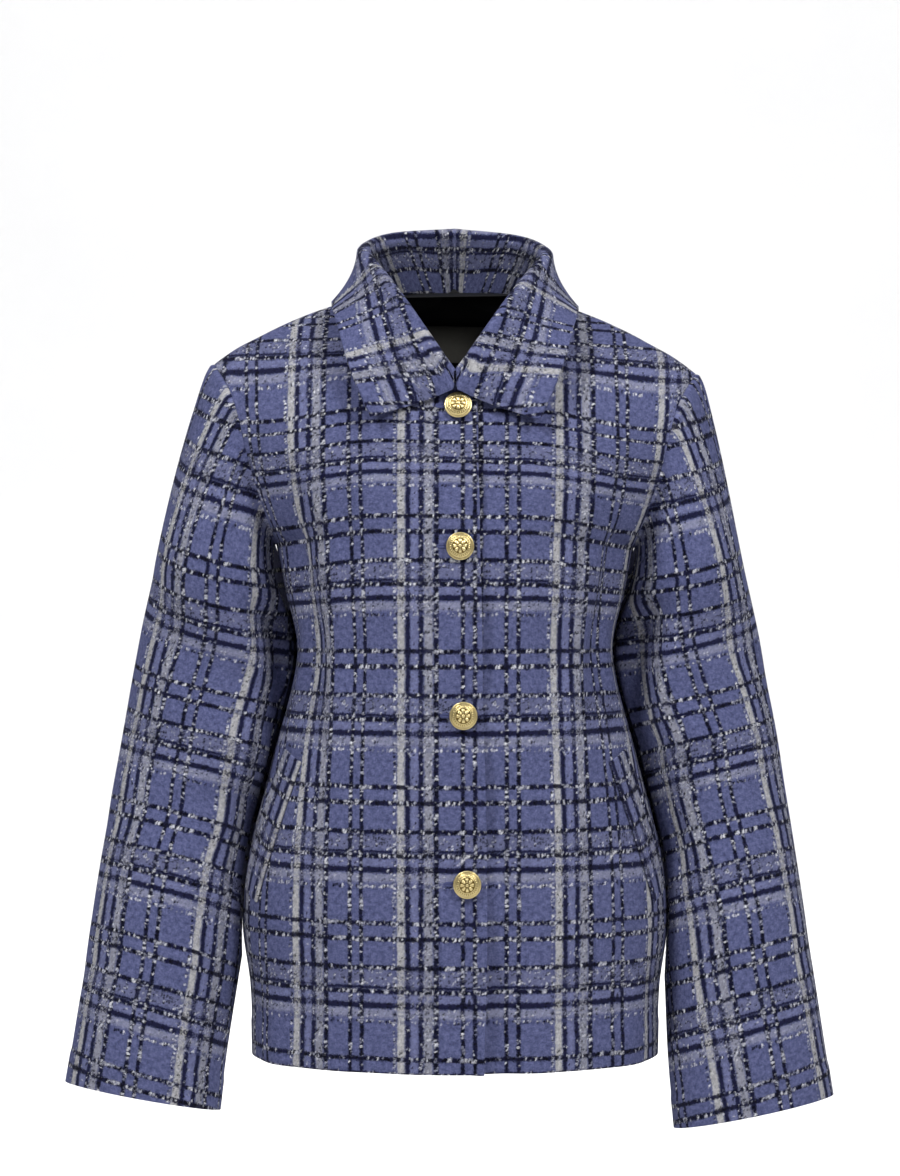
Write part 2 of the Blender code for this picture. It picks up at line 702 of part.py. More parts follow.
def add_welt(side, name, parent):
    """A pocket welt on a front, made from the front's own points moved out."""
    steps_long, steps_wide = 8, 3
    seam = Vector((WELT_FOOT[0] - WELT_TOP[0], WELT_FOOT[1] - WELT_TOP[1]))
    aside = Vector((-seam.y, seam.x)).normalized()
    grid = []
    for i in range(steps_long + 1):
        ring = []
        for j in range(steps_wide + 1):
            across = j / steps_wide
            place = Vector(WELT_TOP) + seam * (i / steps_long) + aside * WELT_WIDTH * across
            row = row_at_height(place.y)
            share = min(share_at_girth(place.x, row), seam_share(row) - 0.004)
            lift = SEAM_GAP + 0.2 + WELT_GAPE * across * across * math.sin(math.pi * i / steps_long)
            ring.append(mirror_point(front_point(side, share, row, lift), side))
        grid.append(ring)
    bm = sheet_mesh(grid)
    face_along(bm, Vector((side, -1, 0)))
    return add_wall(name, bm, WELT_CLOTH, "boucle", parent)


def add_lining(parent):
    """The back neck lining, from the back's own inner points moved in."""
    rows = rows_between(LINING_HEAD, LINING_FOOT)
    out = -(CLOTH + LINING_GAP + LINING_CLOTH)
    grid = [[cloth_point(share, row, BACK_FOLDS, out) for share in back_shares(row)[:LINING_COLUMNS + 1]]
            for row in rows]
    bm = sheet_mesh(grid, mirrored=True)
    face_back(bm)
    return add_wall("back_neck_lining", bm, LINING_CLOTH, "lining", parent)


def back_row_at(girth, z):
    """The back section place at a length of cloth from the middle line and a height."""
    low, high = float(ROW["back neck"]), float(ROW["back underarm"])
    for _ in range(24):
        row = (low + high) / 2
        if body(share_at_girth(girth, row), row).z > z:
            low = row
        else:
            high = row
    return low


def add_label(parent):
    """The blank label, from the lining's points moved in."""
    columns, rows = 4, 3
    out = -(CLOTH + LINING_GAP + LINING_CLOTH + LINING_GAP + LABEL_CLOTH)
    grid = []
    for i in range(rows + 1):
        z = LABEL_TOP + (LABEL_FOOT - LABEL_TOP) * i / rows
        ring = []
        for j in range(columns + 1):
            girth = LABEL_HALF_WIDTH * j / columns
            row = back_row_at(girth, z)
            ring.append(cloth_point(share_at_girth(girth, row) if j else 0.0, row, BACK_FOLDS, out))
        ring[0].x = 0.0
        grid.append(ring)
    bm = sheet_mesh(grid, mirrored=True)
    face_back(bm)
    return add_wall("label", bm, LABEL_CLOTH, "label", parent)


def button_mesh():
    """A domed button with a rolled rim and a shank, turned about Z, its shank's foot at the origin."""
    back = SHANK_LENGTH
    rim_top = back + 2 * BUTTON_RIM
    profile = [(0.0, rim_top + BUTTON_DOME - BUTTON_RIM)]
    steps = 5
    for k in range(1, steps):
        a = math.pi / 2 * k / steps
        profile.append(((BUTTON_RADIUS - 1.6 * BUTTON_RIM) * math.sin(a),
                        rim_top - BUTTON_RIM + BUTTON_DOME * math.cos(a)))
    profile += [(BUTTON_RADIUS - 1.4 * BUTTON_RIM, rim_top - 0.9 * BUTTON_RIM),
                (BUTTON_RADIUS - 0.7 * BUTTON_RIM, rim_top), (BUTTON_RADIUS, rim_top - BUTTON_RIM),
                (BUTTON_RADIUS - 0.7 * BUTTON_RIM, back), (SHANK_RADIUS, back), (SHANK_RADIUS, 0.0),
                (0.0, 0.0)]
    edges = [(k, k + 1) for k in range(len(profile) - 1)]
    mesh = bpy.data.meshes.new("button")
    mesh.from_pydata([(x * MM, 0.0, z * MM) for x, z in profile], edges, [])
    return mesh


def add_buttons(parent):
    """Four buttons on the upper front, each square to the cloth."""
    mesh = button_mesh()
    mesh.materials.append(material("gold"))
    for number, height in enumerate(BUTTON_HEIGHTS, 1):
        low, high = 0.0, float(ROW["front neck"])
        for _ in range(30):
            middle = (low + high) / 2
            if inner_end(middle).z < height:
                low = middle
            else:
                high = middle
        lap = through(LAPS, low, INNER_CORNERS) - BUTTON_INSET
        share = -lap / slope(body, 0.0, low, "share").length
        foot = mirror_point(front_point(-1, share, low, SEAM_GAP), -1)
        normal = mirror_point(body_normal(abs(share), low), -1 if share > 0 else 1)
        obj = bpy.data.objects.new(f"button_{number}", mesh)
        jacket.objects.link(obj)
        obj.parent = parent
        obj.location = hung(foot) * MM
        obj.rotation_mode = "QUATERNION"
        obj.rotation_quaternion = Vector((0, 0, 1)).rotation_difference(normal)
        screw = obj.modifiers.new("turned", "SCREW")
        screw.steps = screw.render_steps = BUTTON_STEPS
        screw.use_merge_vertices = True
        screw.merge_threshold = 1e-6
        screw.use_smooth_shade = True


for old in list(bpy.data.objects):
    bpy.data.objects.remove(old)
jacket = bpy.data.collections.new("boucle_jacket")
bpy.context.scene.collection.children.link(jacket)
held_at = bpy.data.objects.new("held_at_shoulders", None)
jacket.objects.link(held_at)

add_front(-1, "front_right", held_at)
add_front(1, "front_left", held_at)
add_back(held_at)
add_sleeve(-1, "sleeve_right", held_at)
add_sleeve(1, "sleeve_left", held_at)
add_collar(held_at)
add_welt(-1, "welt_right", held_at)
add_welt(1, "welt_left", held_at)
add_lining(held_at)
add_label(held_at)
add_buttons(held_at)
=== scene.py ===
# %% [markdown]
# # A boucle jacket, dressed on its frame
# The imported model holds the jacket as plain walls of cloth. This lesson dresses those walls: each sewn
# piece is rebuilt as a fine sheet on the same form, gets its creases and its own weave map, and takes a
# cloth made of nodes. Lengths in the tables are millimetres; Blender works in metres. The front looks
# along -Y and +Z is up.

# %% Load the frame
import math

import bmesh
import bpy
import numpy as np
from mathutils import Matrix, Vector


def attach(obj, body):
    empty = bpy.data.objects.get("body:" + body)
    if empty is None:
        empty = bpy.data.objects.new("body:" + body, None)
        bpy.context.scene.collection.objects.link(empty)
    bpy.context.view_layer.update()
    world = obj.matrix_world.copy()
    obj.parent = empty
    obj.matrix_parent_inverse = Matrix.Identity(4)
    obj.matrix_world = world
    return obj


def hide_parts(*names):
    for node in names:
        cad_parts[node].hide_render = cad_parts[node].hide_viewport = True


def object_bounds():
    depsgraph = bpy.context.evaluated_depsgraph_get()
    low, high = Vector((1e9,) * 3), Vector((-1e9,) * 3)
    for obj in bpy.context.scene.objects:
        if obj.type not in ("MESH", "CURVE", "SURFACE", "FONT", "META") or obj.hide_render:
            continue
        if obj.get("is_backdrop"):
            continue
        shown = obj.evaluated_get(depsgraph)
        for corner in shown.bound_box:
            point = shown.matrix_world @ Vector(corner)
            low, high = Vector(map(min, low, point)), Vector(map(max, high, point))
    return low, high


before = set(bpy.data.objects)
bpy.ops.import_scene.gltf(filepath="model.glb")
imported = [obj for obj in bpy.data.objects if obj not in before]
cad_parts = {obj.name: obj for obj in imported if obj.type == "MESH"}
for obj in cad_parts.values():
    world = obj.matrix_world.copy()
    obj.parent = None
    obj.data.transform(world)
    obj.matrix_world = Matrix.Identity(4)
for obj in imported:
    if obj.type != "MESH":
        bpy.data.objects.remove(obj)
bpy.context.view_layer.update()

MM = 0.001

# %% [markdown]
# ## Camera
# The jacket was photographed from straight ahead with a long lens, level with its waist. A long lens
# keeps the sleeves and the collar nearly square to the picture, so the camera stands well back.

# %% Set up the camera
CAMERA_PLACE = (-0.0044, -2.5, -0.249)
FRAME_HEIGHT_PIXELS = 1176
METRES_PER_PIXEL = 0.00088
camera_data = bpy.data.cameras.new("studio_camera")
camera_data.sensor_width = 36
camera_data.lens = 36 * -CAMERA_PLACE[1] / (FRAME_HEIGHT_PIXELS * METRES_PER_PIXEL)
camera = bpy.data.objects.new("studio_camera", camera_data)
camera.location = CAMERA_PLACE
camera.rotation_euler = (math.radians(90), 0, 0)
bpy.context.scene.collection.objects.link(camera)
bpy.context.scene.camera = camera
print("camera lens", round(camera_data.lens, 1), "mm")

# %% [markdown]
# ## Building materials from nodes
# Every finish here is a small graph of nodes. A few helpers keep the graphs short: one makes a node and
# fills its sockets, others do arithmetic and mix colours, and one turns the colour seen on a screen into
# the linear colour that light uses.

# %% Node helpers
def linear(red, green, blue):
    """A screen colour, 0 to 255, as a linear colour with full alpha."""
    shares = [value / 255 for value in (red, green, blue)]
    return tuple(s / 12.92 if s <= 0.04045 else ((s + 0.055) / 1.055) ** 2.4 for s in shares) + (1.0,)


def add_node(tree, kind, sockets=None, **settings):
    """A new node with its settings made and its sockets filled, by values or by other nodes' outputs."""
    made = tree.nodes.new(kind)
    for name, value in settings.items():
        setattr(made, name, value)
    for name, value in (sockets or {}).items():
        if isinstance(value, bpy.types.NodeSocket):
            tree.links.new(value, made.inputs[name])
        else:
            made.inputs[name].default_value = value
    return made


def calc(tree, operation, *values):
    """The output of a Math node; a value is a number or another output."""
    return add_node(tree, "ShaderNodeMath", dict(enumerate(values)), operation=operation).outputs[0]


def blend(tree, share, first, second, kind="MIX"):
    """Two colours mixed by a share."""
    return add_node(tree, "ShaderNodeMix", {0: share, 6: first, 7: second},
                    data_type="RGBA", blend_type=kind).outputs[2]


def new_finish(name, **sockets):
    """A new material, its node tree and its shader, with the shader's plain sockets set."""
    made = bpy.data.materials.new(name)
    made.use_nodes = True
    shader = made.node_tree.nodes["Principled BSDF"]
    for socket, value in sockets.items():
        shader.inputs[socket.replace("_", " ")].default_value = value
    return made, made.node_tree, shader


def raise_bump(tree, shader, strength, distance, height):
    """A bump on a shader, from a height; the distance is in metres."""
    bump = add_node(tree, "ShaderNodeBump", {"Strength": strength, "Distance": distance, "Height": height})
    tree.links.new(bump.outputs[0], shader.inputs["Normal"])


print("node helpers ready; middle grey is", round(linear(128, 128, 128)[0], 3), "in light")

# %% [markdown]
# ## The check
# The cloth is woven in a check: fine lines of black and white flecked yarn, bands of grey, navy and
# lavender, and wide blue squares between them. Stripes of much the same yarns run along the cloth (warp)
# and across it (weft), with the weft spaced wider. A chart lists the stripes in order, each with its
# width, so a change of one number moves one stripe. Each yarn has a colour, a cover (how much of the blue
# it hides) and its share of white and black flecks.

# %% Chart the stripes
# yarn: screen colour, cover, shares of white and of black flecks, 1 where the flecks lie in single file
YARNS = {
    "ground": ((88, 93, 130), 0.0, 0.0, 0.0, 0),
    "line": ((16, 17, 44), 0.96, 0.36, 0.46, 1),
    "faint": ((70, 75, 116), 0.40, 0.46, 0.22, 1),
    "grey": ((182, 181, 179), 0.80, 0.06, 0.07, 0),
    "navy": ((18, 19, 48), 0.94, 0.02, 0.16, 0),
    "lavender": ((112, 116, 153), 0.70, 0.04, 0.04, 0),
    "navy fleck": ((19, 20, 48), 0.94, 0.10, 0.24, 0),
    "grey fleck": ((148, 149, 160), 0.82, 0.12, 0.18, 0),
    "grey weft": ((112, 115, 146), 0.58, 0.10, 0.20, 0),
    "light weft": ((144, 146, 168), 0.64, 0.10, 0.10, 0),
}
# the dyes are a little darker than the cloth looks, because the lamps are strong
DYE_DEPTH = 0.84
WARP = [("line", 4.2), ("ground", 5.9), ("line", 4.2), ("ground", 25.3), ("faint", 3.8), ("grey", 7.2),
        ("navy", 4.6), ("lavender", 6.7), ("navy fleck", 4.6), ("grey fleck", 8.0), ("line", 5.1),
        ("ground", 17.7)]
WEFT = [("line", 4.8), ("grey weft", 13.0), ("navy", 2.5), ("line", 4.7), ("lavender", 6.5), ("navy", 5.6),
        ("light weft", 7.7), ("ground", 1.3), ("faint", 4.3), ("ground", 26.6), ("line", 4.7),
        ("ground", 8.3), ("line", 5.2), ("ground", 19.3)]
WARP_REPEAT = sum(width for _, width in WARP)
WEFT_REPEAT = sum(width for _, width in WEFT)
GREY_NUMBER = [yarn for yarn, _ in WARP].index("grey")
GREY_MIDDLE = sum(width for _, width in WARP[:GREY_NUMBER]) + WARP[GREY_NUMBER][1] / 2
print("check repeats every", round(WARP_REPEAT, 1), "mm across and", round(WEFT_REPEAT, 1), "mm down")

# %% [markdown]
# ## The stripes of the boucle
# Boucle is a brushed woollen cloth with knobbly yarns in it. A flat picture of the check would look
# printed, so the material weaves it. It starts with ramps over one repeat of the chart: a stepped one
# gives each stripe's yarn, another its shares of flecks, and a third rises from a stripe's edges to its
# middle, so that the edges can be soft.

# %% Make the ramps
def stripe_ramp(tree, place, chart, entry):
    """A stepped ramp over one repeat of a chart; entry gives a yarn's colour and alpha."""
    ramp = add_node(tree, "ShaderNodeValToRGB", {"Fac": place})
    ramp.color_ramp.interpolation = "CONSTANT"
    total, passed = sum(width for _, width in chart), 0.0
    for number, (yarn, width) in enumerate(chart):
        stops = ramp.color_ramp.elements
        stop = stops[0] if number == 0 else stops[1] if number == 1 else stops.new(passed / total)
        stop.position = passed / total
        stop.color = entry(YARNS[yarn])
        passed += width
    return ramp


def core_ramp(tree, place, chart):
    """A ramp that rises from 0 at each stripe's edges to 1 along its middle."""
    ramp = add_node(tree, "ShaderNodeValToRGB", {"Fac": place})
    stops = ramp.color_ramp.elements
    total, passed = sum(width for _, width in chart), 0.0
    for stop, position in zip(stops, (0.0, 1.0)):
        stop.position, stop.color = position, (0, 0, 0, 1)
    for number, (_, width) in enumerate(chart):
        if number:
            stops.new(passed / total).color = (0, 0, 0, 1)
        stops.new((passed + width / 2) / total).color = (1, 1, 1, 1)
        passed += width
    return ramp.outputs["Color"]


def dyed(red, green, blue):
    """A yarn's dye, from the colour that the cloth shows on a screen."""
    return tuple(DYE_DEPTH * share for share in linear(red, green, blue)[:3]) + (1.0,)


def yarn_colour(yarn):
    return dyed(*yarn[0])[:3] + (yarn[1],)


def yarn_flecks(yarn):
    return (yarn[2], yarn[3], yarn[4], 1.0)


print("ramps for", len(WARP), "stripes across and", len(WEFT), "down")

# %% [markdown]
# ## Flecks
# The fine lines are spun from black and white yarn, twisted, so they show as short slanting dashes. A
# Voronoi texture gives such dashes: its cells are stretched and slanted by counting them along two tilted
# directions, and each cell draws two random numbers, which later choose white, black or neither. A dash
# fades towards its rim, like wool.

# %% Make the flecks
FLECK_RIM, FLECK_CORE = 0.62, 0.34
# cells to the millimetre: the ways that count them across and down, for the warp and then for the weft
FINE_WAYS = (((0.70, 0.30, 0), (0, 0.42, 0)), ((0.42, 0, 0), (0.30, 0.70, 0)))
SINGLE_WAYS = (((0.26, 0.22, 0), (0, 0.46, 0)), ((0.46, 0, 0), (0.22, 0.26, 0)))


def ease(tree, value, low, high):
    """A smooth step from 0 at low to 1 at high."""
    return add_node(tree, "ShaderNodeMapRange", {"Value": value, "From Min": low, "From Max": high},
                    interpolation_type="SMOOTHSTEP").outputs[0]


def fleck_cells(tree, cloth, across, down):
    """Slanting cells, from the ways that count them: two random numbers and the nearness to the middle."""
    counts = []
    for way in (across, down):
        counted = add_node(tree, "ShaderNodeVectorMath", {0: cloth, 1: way}, operation="DOT_PRODUCT")
        counts.append(counted.outputs["Value"])
    dashes = add_node(tree, "ShaderNodeCombineXYZ", {0: counts[0], 1: counts[1]}).outputs[0]
    cells = add_node(tree, "ShaderNodeTexVoronoi", {"Vector": dashes, "Scale": 1.0}, voronoi_dimensions="2D")
    drawn = add_node(tree, "ShaderNodeSeparateColor", {0: cells.outputs["Color"]})
    return drawn.outputs[0], drawn.outputs[1], ease(tree, cells.outputs["Distance"], FLECK_RIM, FLECK_CORE)


print("flecks about", round(1 / SINGLE_WAYS[0][1][1], 1), "mm long on the fine lines")

# %% [markdown]
# ## One direction of the weave
# Warp and weft are made in the same way. The stepped ramp colours the yarn, slubs make it lighter and
# darker, and the cells lay white and black flecks on it: all over a band, but in single file along a fine
# line. The cover says how much of the blue ground the yarn hides. It drops at the stripe's edges, where
# the brushed fibres mix.

# %% Weave one direction
PALE_DULL, PALE_BRIGHT = (112, 116, 142), (232, 233, 240)
BLACK_FLECK = (7, 7, 16)
SLUB_LOW, SLUB_HIGH = 0.70, 1.28
# from a stripe's edge, 0, to its middle, 1: where the single flecks fade in, and where the yarn covers fully
DOT_START, DOT_FULL = 0.08, 0.50
COVER_FULL = 0.30


def scaled(tree, value, low, high, **limits):
    """A value spread from low to high; limits set where it starts and ends."""
    sockets = {name.replace("_", " "): limit for name, limit in limits.items()}
    sockets.update({"Value": value, "To Min": low, "To Max": high})
    return add_node(tree, "ShaderNodeMapRange", sockets).outputs[0]


def grey_of(tree, value):
    """A value as a grey colour."""
    return add_node(tree, "ShaderNodeCombineColor", {0: value, 1: value, 2: value}).outputs[0]


def woven_stripes(tree, place, chart, fine, single, lively):
    """Colour and cover of one direction of stripes, and its white and black flecks.

    fine and single are cells, and lively makes the white flecks come and go along the yarn."""
    yarns = stripe_ramp(tree, place, chart, yarn_colour)
    flecks = stripe_ramp(tree, place, chart, yarn_flecks)
    shares = list(add_node(tree, "ShaderNodeSeparateColor", {0: flecks.outputs["Color"]}).outputs)
    shares[0] = calc(tree, "MULTIPLY", shares[0], lively)
    core = core_ramp(tree, place, chart)
    dot = calc(tree, "MULTIPLY", single[2], ease(tree, core, DOT_START, DOT_FULL))
    masks = []
    for kind, (share, compare) in enumerate(((shares[0], "LESS_THAN"), (shares[1], "GREATER_THAN"))):
        edge = calc(tree, "SUBTRACT", 1.0, share) if kind else share
        rows = [calc(tree, "MULTIPLY", calc(tree, compare, cells[0], edge), near)
                for cells, near in ((fine, fine[2]), (single, dot))]
        lone = calc(tree, "MULTIPLY", calc(tree, "SUBTRACT", rows[1], rows[0]), shares[2])
        masks.append(calc(tree, "ADD", rows[0], lone))
    white, black = masks
    pale = blend(tree, single[1], dyed(*PALE_DULL), dyed(*PALE_BRIGHT))
    slub = grey_of(tree, scaled(tree, fine[0], SLUB_LOW, SLUB_HIGH))
    colour = blend(tree, 1.0, yarns.outputs["Color"], slub, "MULTIPLY")
    colour = blend(tree, white, colour, pale)
    colour = blend(tree, black, colour, dyed(*BLACK_FLECK))
    cover = calc(tree, "MULTIPLY", yarns.outputs["Alpha"], ease(tree, core, 0.0, COVER_FULL))
    return colour, calc(tree, "MAXIMUM", cover, calc(tree, "MAXIMUM", white, black)), white, black, shares[2]


print("flecks run from", PALE_DULL, "to", PALE_BRIGHT)

# %% [markdown]
# ## The boucle cloth
# Now the cloth comes together. Noise bends the stripes, another noise decides where the weft lies on top
# of the warp, and a third ruffles the nap, which shades the colour and raises the bump. The flecks stand
# out as knobs. The shader's sheen gives the soft edge of brushed wool. Everything reads the piece's own
# weave map, where one unit is 100 mm of cloth, so that the check follows the grain. An attribute darkens
# the inside of the collar's stand: this is painted shade, standing in for the shadow inside the neck.

# %% Finish the boucle
WEAVE_UNIT = 100
# scale, detail and reach in millimetres of the noises that bend the stripes
BENDS = ((0.09, 2.0, 2.2), (0.42, 1.0, 1.6), (1.9, 3.0, 5.5))
# scale, detail and roughness of the noises that vary the flecks, the weave, the ground and the nap
DRIFT, WOVEN = (0.05, 2.0, 0.5), (0.55, 3.0, 0.5)
MOTTLE, NAP = (0.24, 6.0, 0.7), (0.62, 5.0, 0.75)
GROUND_DARK, GROUND_LIGHT = (66, 71, 107), (104, 109, 150)
# how far the white flecks come and go, and how far the nap shades the colour
LIVELY_LOW, LIVELY_HIGH = 0.45, 1.55
NAP_DARK, NAP_LIGHT = 0.66, 1.30
# how much the weft lies on top, and how much more where a fine line runs along the weft or along the warp
WEFT_TOP, WEFT_LINE_TOP, WARP_LINE_TOP = 0.92, 0.9, 0.75
# how much the painted shade darkens the inside of the collar's stand
PAINTED_STAND_SHADE_LOSS = 0.5
# heights of the flecks and of the nap, and how strongly the bump shows them
WHITE_KNOB, BLACK_KNOB, NAP_HEIGHT = 0.9, 0.4, 1.6
CLOTH_BUMP, CLOTH_BUMP_METRES = 0.6, 0.0012


def cloth_noise(tree, cloth, scale, detail, roughness=0.5):
    return add_node(tree, "ShaderNodeTexNoise",
                    {"Vector": cloth, "Scale": scale, "Detail": detail, "Roughness": roughness}).outputs


def bent_place(tree, cloth):
    """Places on the cloth, moved about by noise."""
    place = cloth
    for scale, detail, reach in BENDS:
        noise = cloth_noise(tree, cloth, scale, detail)["Color"]
        about = add_node(tree, "ShaderNodeVectorMath", {0: noise, 1: (0.5, 0.5, 0.5)}, operation="SUBTRACT")
        place = add_node(tree, "ShaderNodeVectorMath", {0: about.outputs[0], 1: (reach, reach, 0), 2: place},
                         operation="MULTIPLY_ADD").outputs[0]
    return place


def boucle_finish():
    made, tree, shader = new_finish("boucle_check", Roughness=0.96, Sheen_Weight=0.03, Sheen_Roughness=0.5,
                                    Sheen_Tint=(0.72, 0.75, 0.92, 1.0), Specular_IOR_Level=0.06)
    uv = add_node(tree, "ShaderNodeUVMap", uv_map="weave").outputs["UV"]
    cloth = add_node(tree, "ShaderNodeVectorMath", {0: uv, 1: (WEAVE_UNIT, WEAVE_UNIT, 0)},
                     operation="MULTIPLY").outputs[0]
    place = bent_place(tree, cloth)
    parts = add_node(tree, "ShaderNodeSeparateXYZ", {0: place}).outputs
    across = calc(tree, "FRACT", calc(tree, "DIVIDE", parts[0], WARP_REPEAT))
    down = calc(tree, "FRACT", calc(tree, "DIVIDE", parts[1], WEFT_REPEAT))
    fine = [fleck_cells(tree, place, *ways) for ways in FINE_WAYS]
    single = [fleck_cells(tree, place, *ways) for ways in SINGLE_WAYS]
    drift = cloth_noise(tree, cloth, *DRIFT)["Fac"]
    lively = scaled(tree, drift, LIVELY_LOW, LIVELY_HIGH, From_Min=0.35, From_Max=0.65)
    warp, warp_cover, warp_white, warp_black, warp_lone = woven_stripes(
        tree, across, WARP, fine[0], single[0], lively)
    weft, weft_cover, weft_white, weft_black, weft_lone = woven_stripes(
        tree, down, WEFT, fine[1], single[1], lively)
    woven = cloth_noise(tree, cloth, *WOVEN)["Fac"]
    top = calc(tree, "MULTIPLY", ease(tree, woven, 0.38, 0.56), WEFT_TOP)
    top = calc(tree, "MULTIPLY_ADD", weft_lone, WEFT_LINE_TOP, top)
    top = calc(tree, "MULTIPLY_ADD", warp_lone, -WARP_LINE_TOP, top)
    top = add_node(tree, "ShaderNodeClamp", {"Value": top}).outputs[0]
    hidden = calc(tree, "MULTIPLY", weft_cover, top)
    shown = calc(tree, "MULTIPLY", warp_cover, calc(tree, "SUBTRACT", 1.0, hidden))
    mottle = cloth_noise(tree, cloth, *MOTTLE)["Fac"]
    ground = blend(tree, ease(tree, mottle, 0.28, 0.72), dyed(*GROUND_DARK), dyed(*GROUND_LIGHT))
    colour = blend(tree, weft_cover, ground, weft)
    colour = blend(tree, shown, colour, warp)
    nap = cloth_noise(tree, cloth, *NAP)["Fac"]
    shade = scaled(tree, nap, NAP_DARK, NAP_LIGHT, From_Min=0.3, From_Max=0.7)
    # painted shade: the attribute darkens the inside of the collar's stand, where the neck's shadow falls
    stand_shade = add_node(tree, "ShaderNodeAttribute", attribute_name="painted_stand_shade").outputs["Fac"]
    shade = calc(tree, "MULTIPLY", shade, calc(tree, "MULTIPLY_ADD", stand_shade, -PAINTED_STAND_SHADE_LOSS, 1.0))
    colour = blend(tree, 1.0, colour, grey_of(tree, shade), "MULTIPLY")
    tree.links.new(colour, shader.inputs["Base Color"])
    whites = calc(tree, "MULTIPLY", calc(tree, "ADD", warp_white, weft_white), WHITE_KNOB)
    blacks = calc(tree, "MULTIPLY", calc(tree, "ADD", warp_black, weft_black), BLACK_KNOB)
    height = calc(tree, "MULTIPLY_ADD", nap, NAP_HEIGHT, calc(tree, "ADD", whites, blacks))
    raise_bump(tree, shader, CLOTH_BUMP, CLOTH_BUMP_METRES, height)
    return made


BOUCLE = boucle_finish()
print("boucle made of", len(BOUCLE.node_tree.nodes), "nodes")

# %% [markdown]
# ## The small finishes
# Inside, the jacket has a black twill lining with a dull gleam and a plain grey woven label. The buttons
# are gold plated metal, a little worn, and darker in the hollows of their relief: the attribute "raised",
# which each button carries on its vertices, says where those are. The buttonholes are worked in dark
# thread. The lining and the label read their weave map; the buttons and the thread read Object
# coordinates, because they are solid things.

# %% Make the small finishes
GOLD_DULL, GOLD_BRIGHT, GOLD_HOLLOW = (196, 174, 112), (232, 217, 166), (104, 84, 40)
GOLD_SMOOTHEST, GOLD_ROUGHEST = 0.26, 0.46
THREAD_DARK, THREAD_LIGHT = (30, 33, 66), (66, 74, 122)


def ribbed_finish(name, colour, light, rib, **sockets):
    """A finely ribbed woven finish between two colours."""
    made, tree, shader = new_finish(name, **sockets)
    uv = add_node(tree, "ShaderNodeUVMap", uv_map="weave").outputs["UV"]
    ribs = add_node(tree, "ShaderNodeTexWave", {"Vector": uv, "Scale": rib, "Distortion": 0.6},
                    bands_direction="DIAGONAL")
    cloudy = add_node(tree, "ShaderNodeTexNoise", {"Vector": uv, "Scale": 24.0, "Detail": 4.0})
    share = calc(tree, "MULTIPLY", ribs.outputs["Fac"], cloudy.outputs["Fac"])
    tree.links.new(blend(tree, share, linear(*colour), linear(*light)), shader.inputs["Base Color"])
    raise_bump(tree, shader, 0.25, 0.0003, ribs.outputs["Fac"])
    return made


def gold_finish():
    made, tree, shader = new_finish("button_gold", Metallic=1.0)
    place = add_node(tree, "ShaderNodeTexCoord").outputs["Object"]
    worn = add_node(tree, "ShaderNodeTexNoise", {"Vector": place, "Scale": 620.0, "Detail": 5.0})
    raised = add_node(tree, "ShaderNodeAttribute", attribute_name="raised").outputs["Fac"]
    plate = blend(tree, worn.outputs["Fac"], linear(*GOLD_DULL), linear(*GOLD_BRIGHT))
    colour = blend(tree, ease(tree, raised, 0.05, 0.6), linear(*GOLD_HOLLOW), plate)
    tree.links.new(colour, shader.inputs["Base Color"])
    rough = scaled(tree, worn.outputs["Fac"], GOLD_SMOOTHEST, GOLD_ROUGHEST)
    tree.links.new(rough, shader.inputs["Roughness"])
    raise_bump(tree, shader, 0.2, 0.0002, worn.outputs["Fac"])
    return made


def thread_finish():
    made, tree, shader = new_finish("buttonhole_thread", Roughness=0.8)
    place = add_node(tree, "ShaderNodeTexCoord").outputs["Object"]
    strands = add_node(tree, "ShaderNodeTexWave", {"Vector": place, "Scale": 420.0, "Distortion": 1.5})
    colour = blend(tree, strands.outputs["Fac"], linear(*THREAD_DARK), linear(*THREAD_LIGHT))
    tree.links.new(colour, shader.inputs["Base Color"])
    raise_bump(tree, shader, 0.5, 0.0003, strands.outputs["Fac"])
    return made


LINING = ribbed_finish("lining_twill", (7, 8, 11), (18, 19, 24), 160.0, Roughness=0.7, Specular_IOR_Level=0.2)
LABEL = ribbed_finish("label_weave", (50, 49, 45), (70, 68, 63), 220.0, Roughness=0.8)
GOLD = gold_finish()
THREAD = thread_finish()
print("small finishes:", LINING.name, LABEL.name, GOLD.name, THREAD.name)

# %% [markdown]
# ## The form of the body
# The body is described by sections, as a pattern cutter would mark them: from the front hem up over the
# shoulder and down to the back hem. Each section runs from the middle line or neckline out to the side
# seam or armhole. Curves through the sections give a smooth surface, so a place on the cloth is two
# numbers: its share of the way along a section, and its row. The functions work on whole arrays of places
# at once, which keeps fine sheets quick to make.

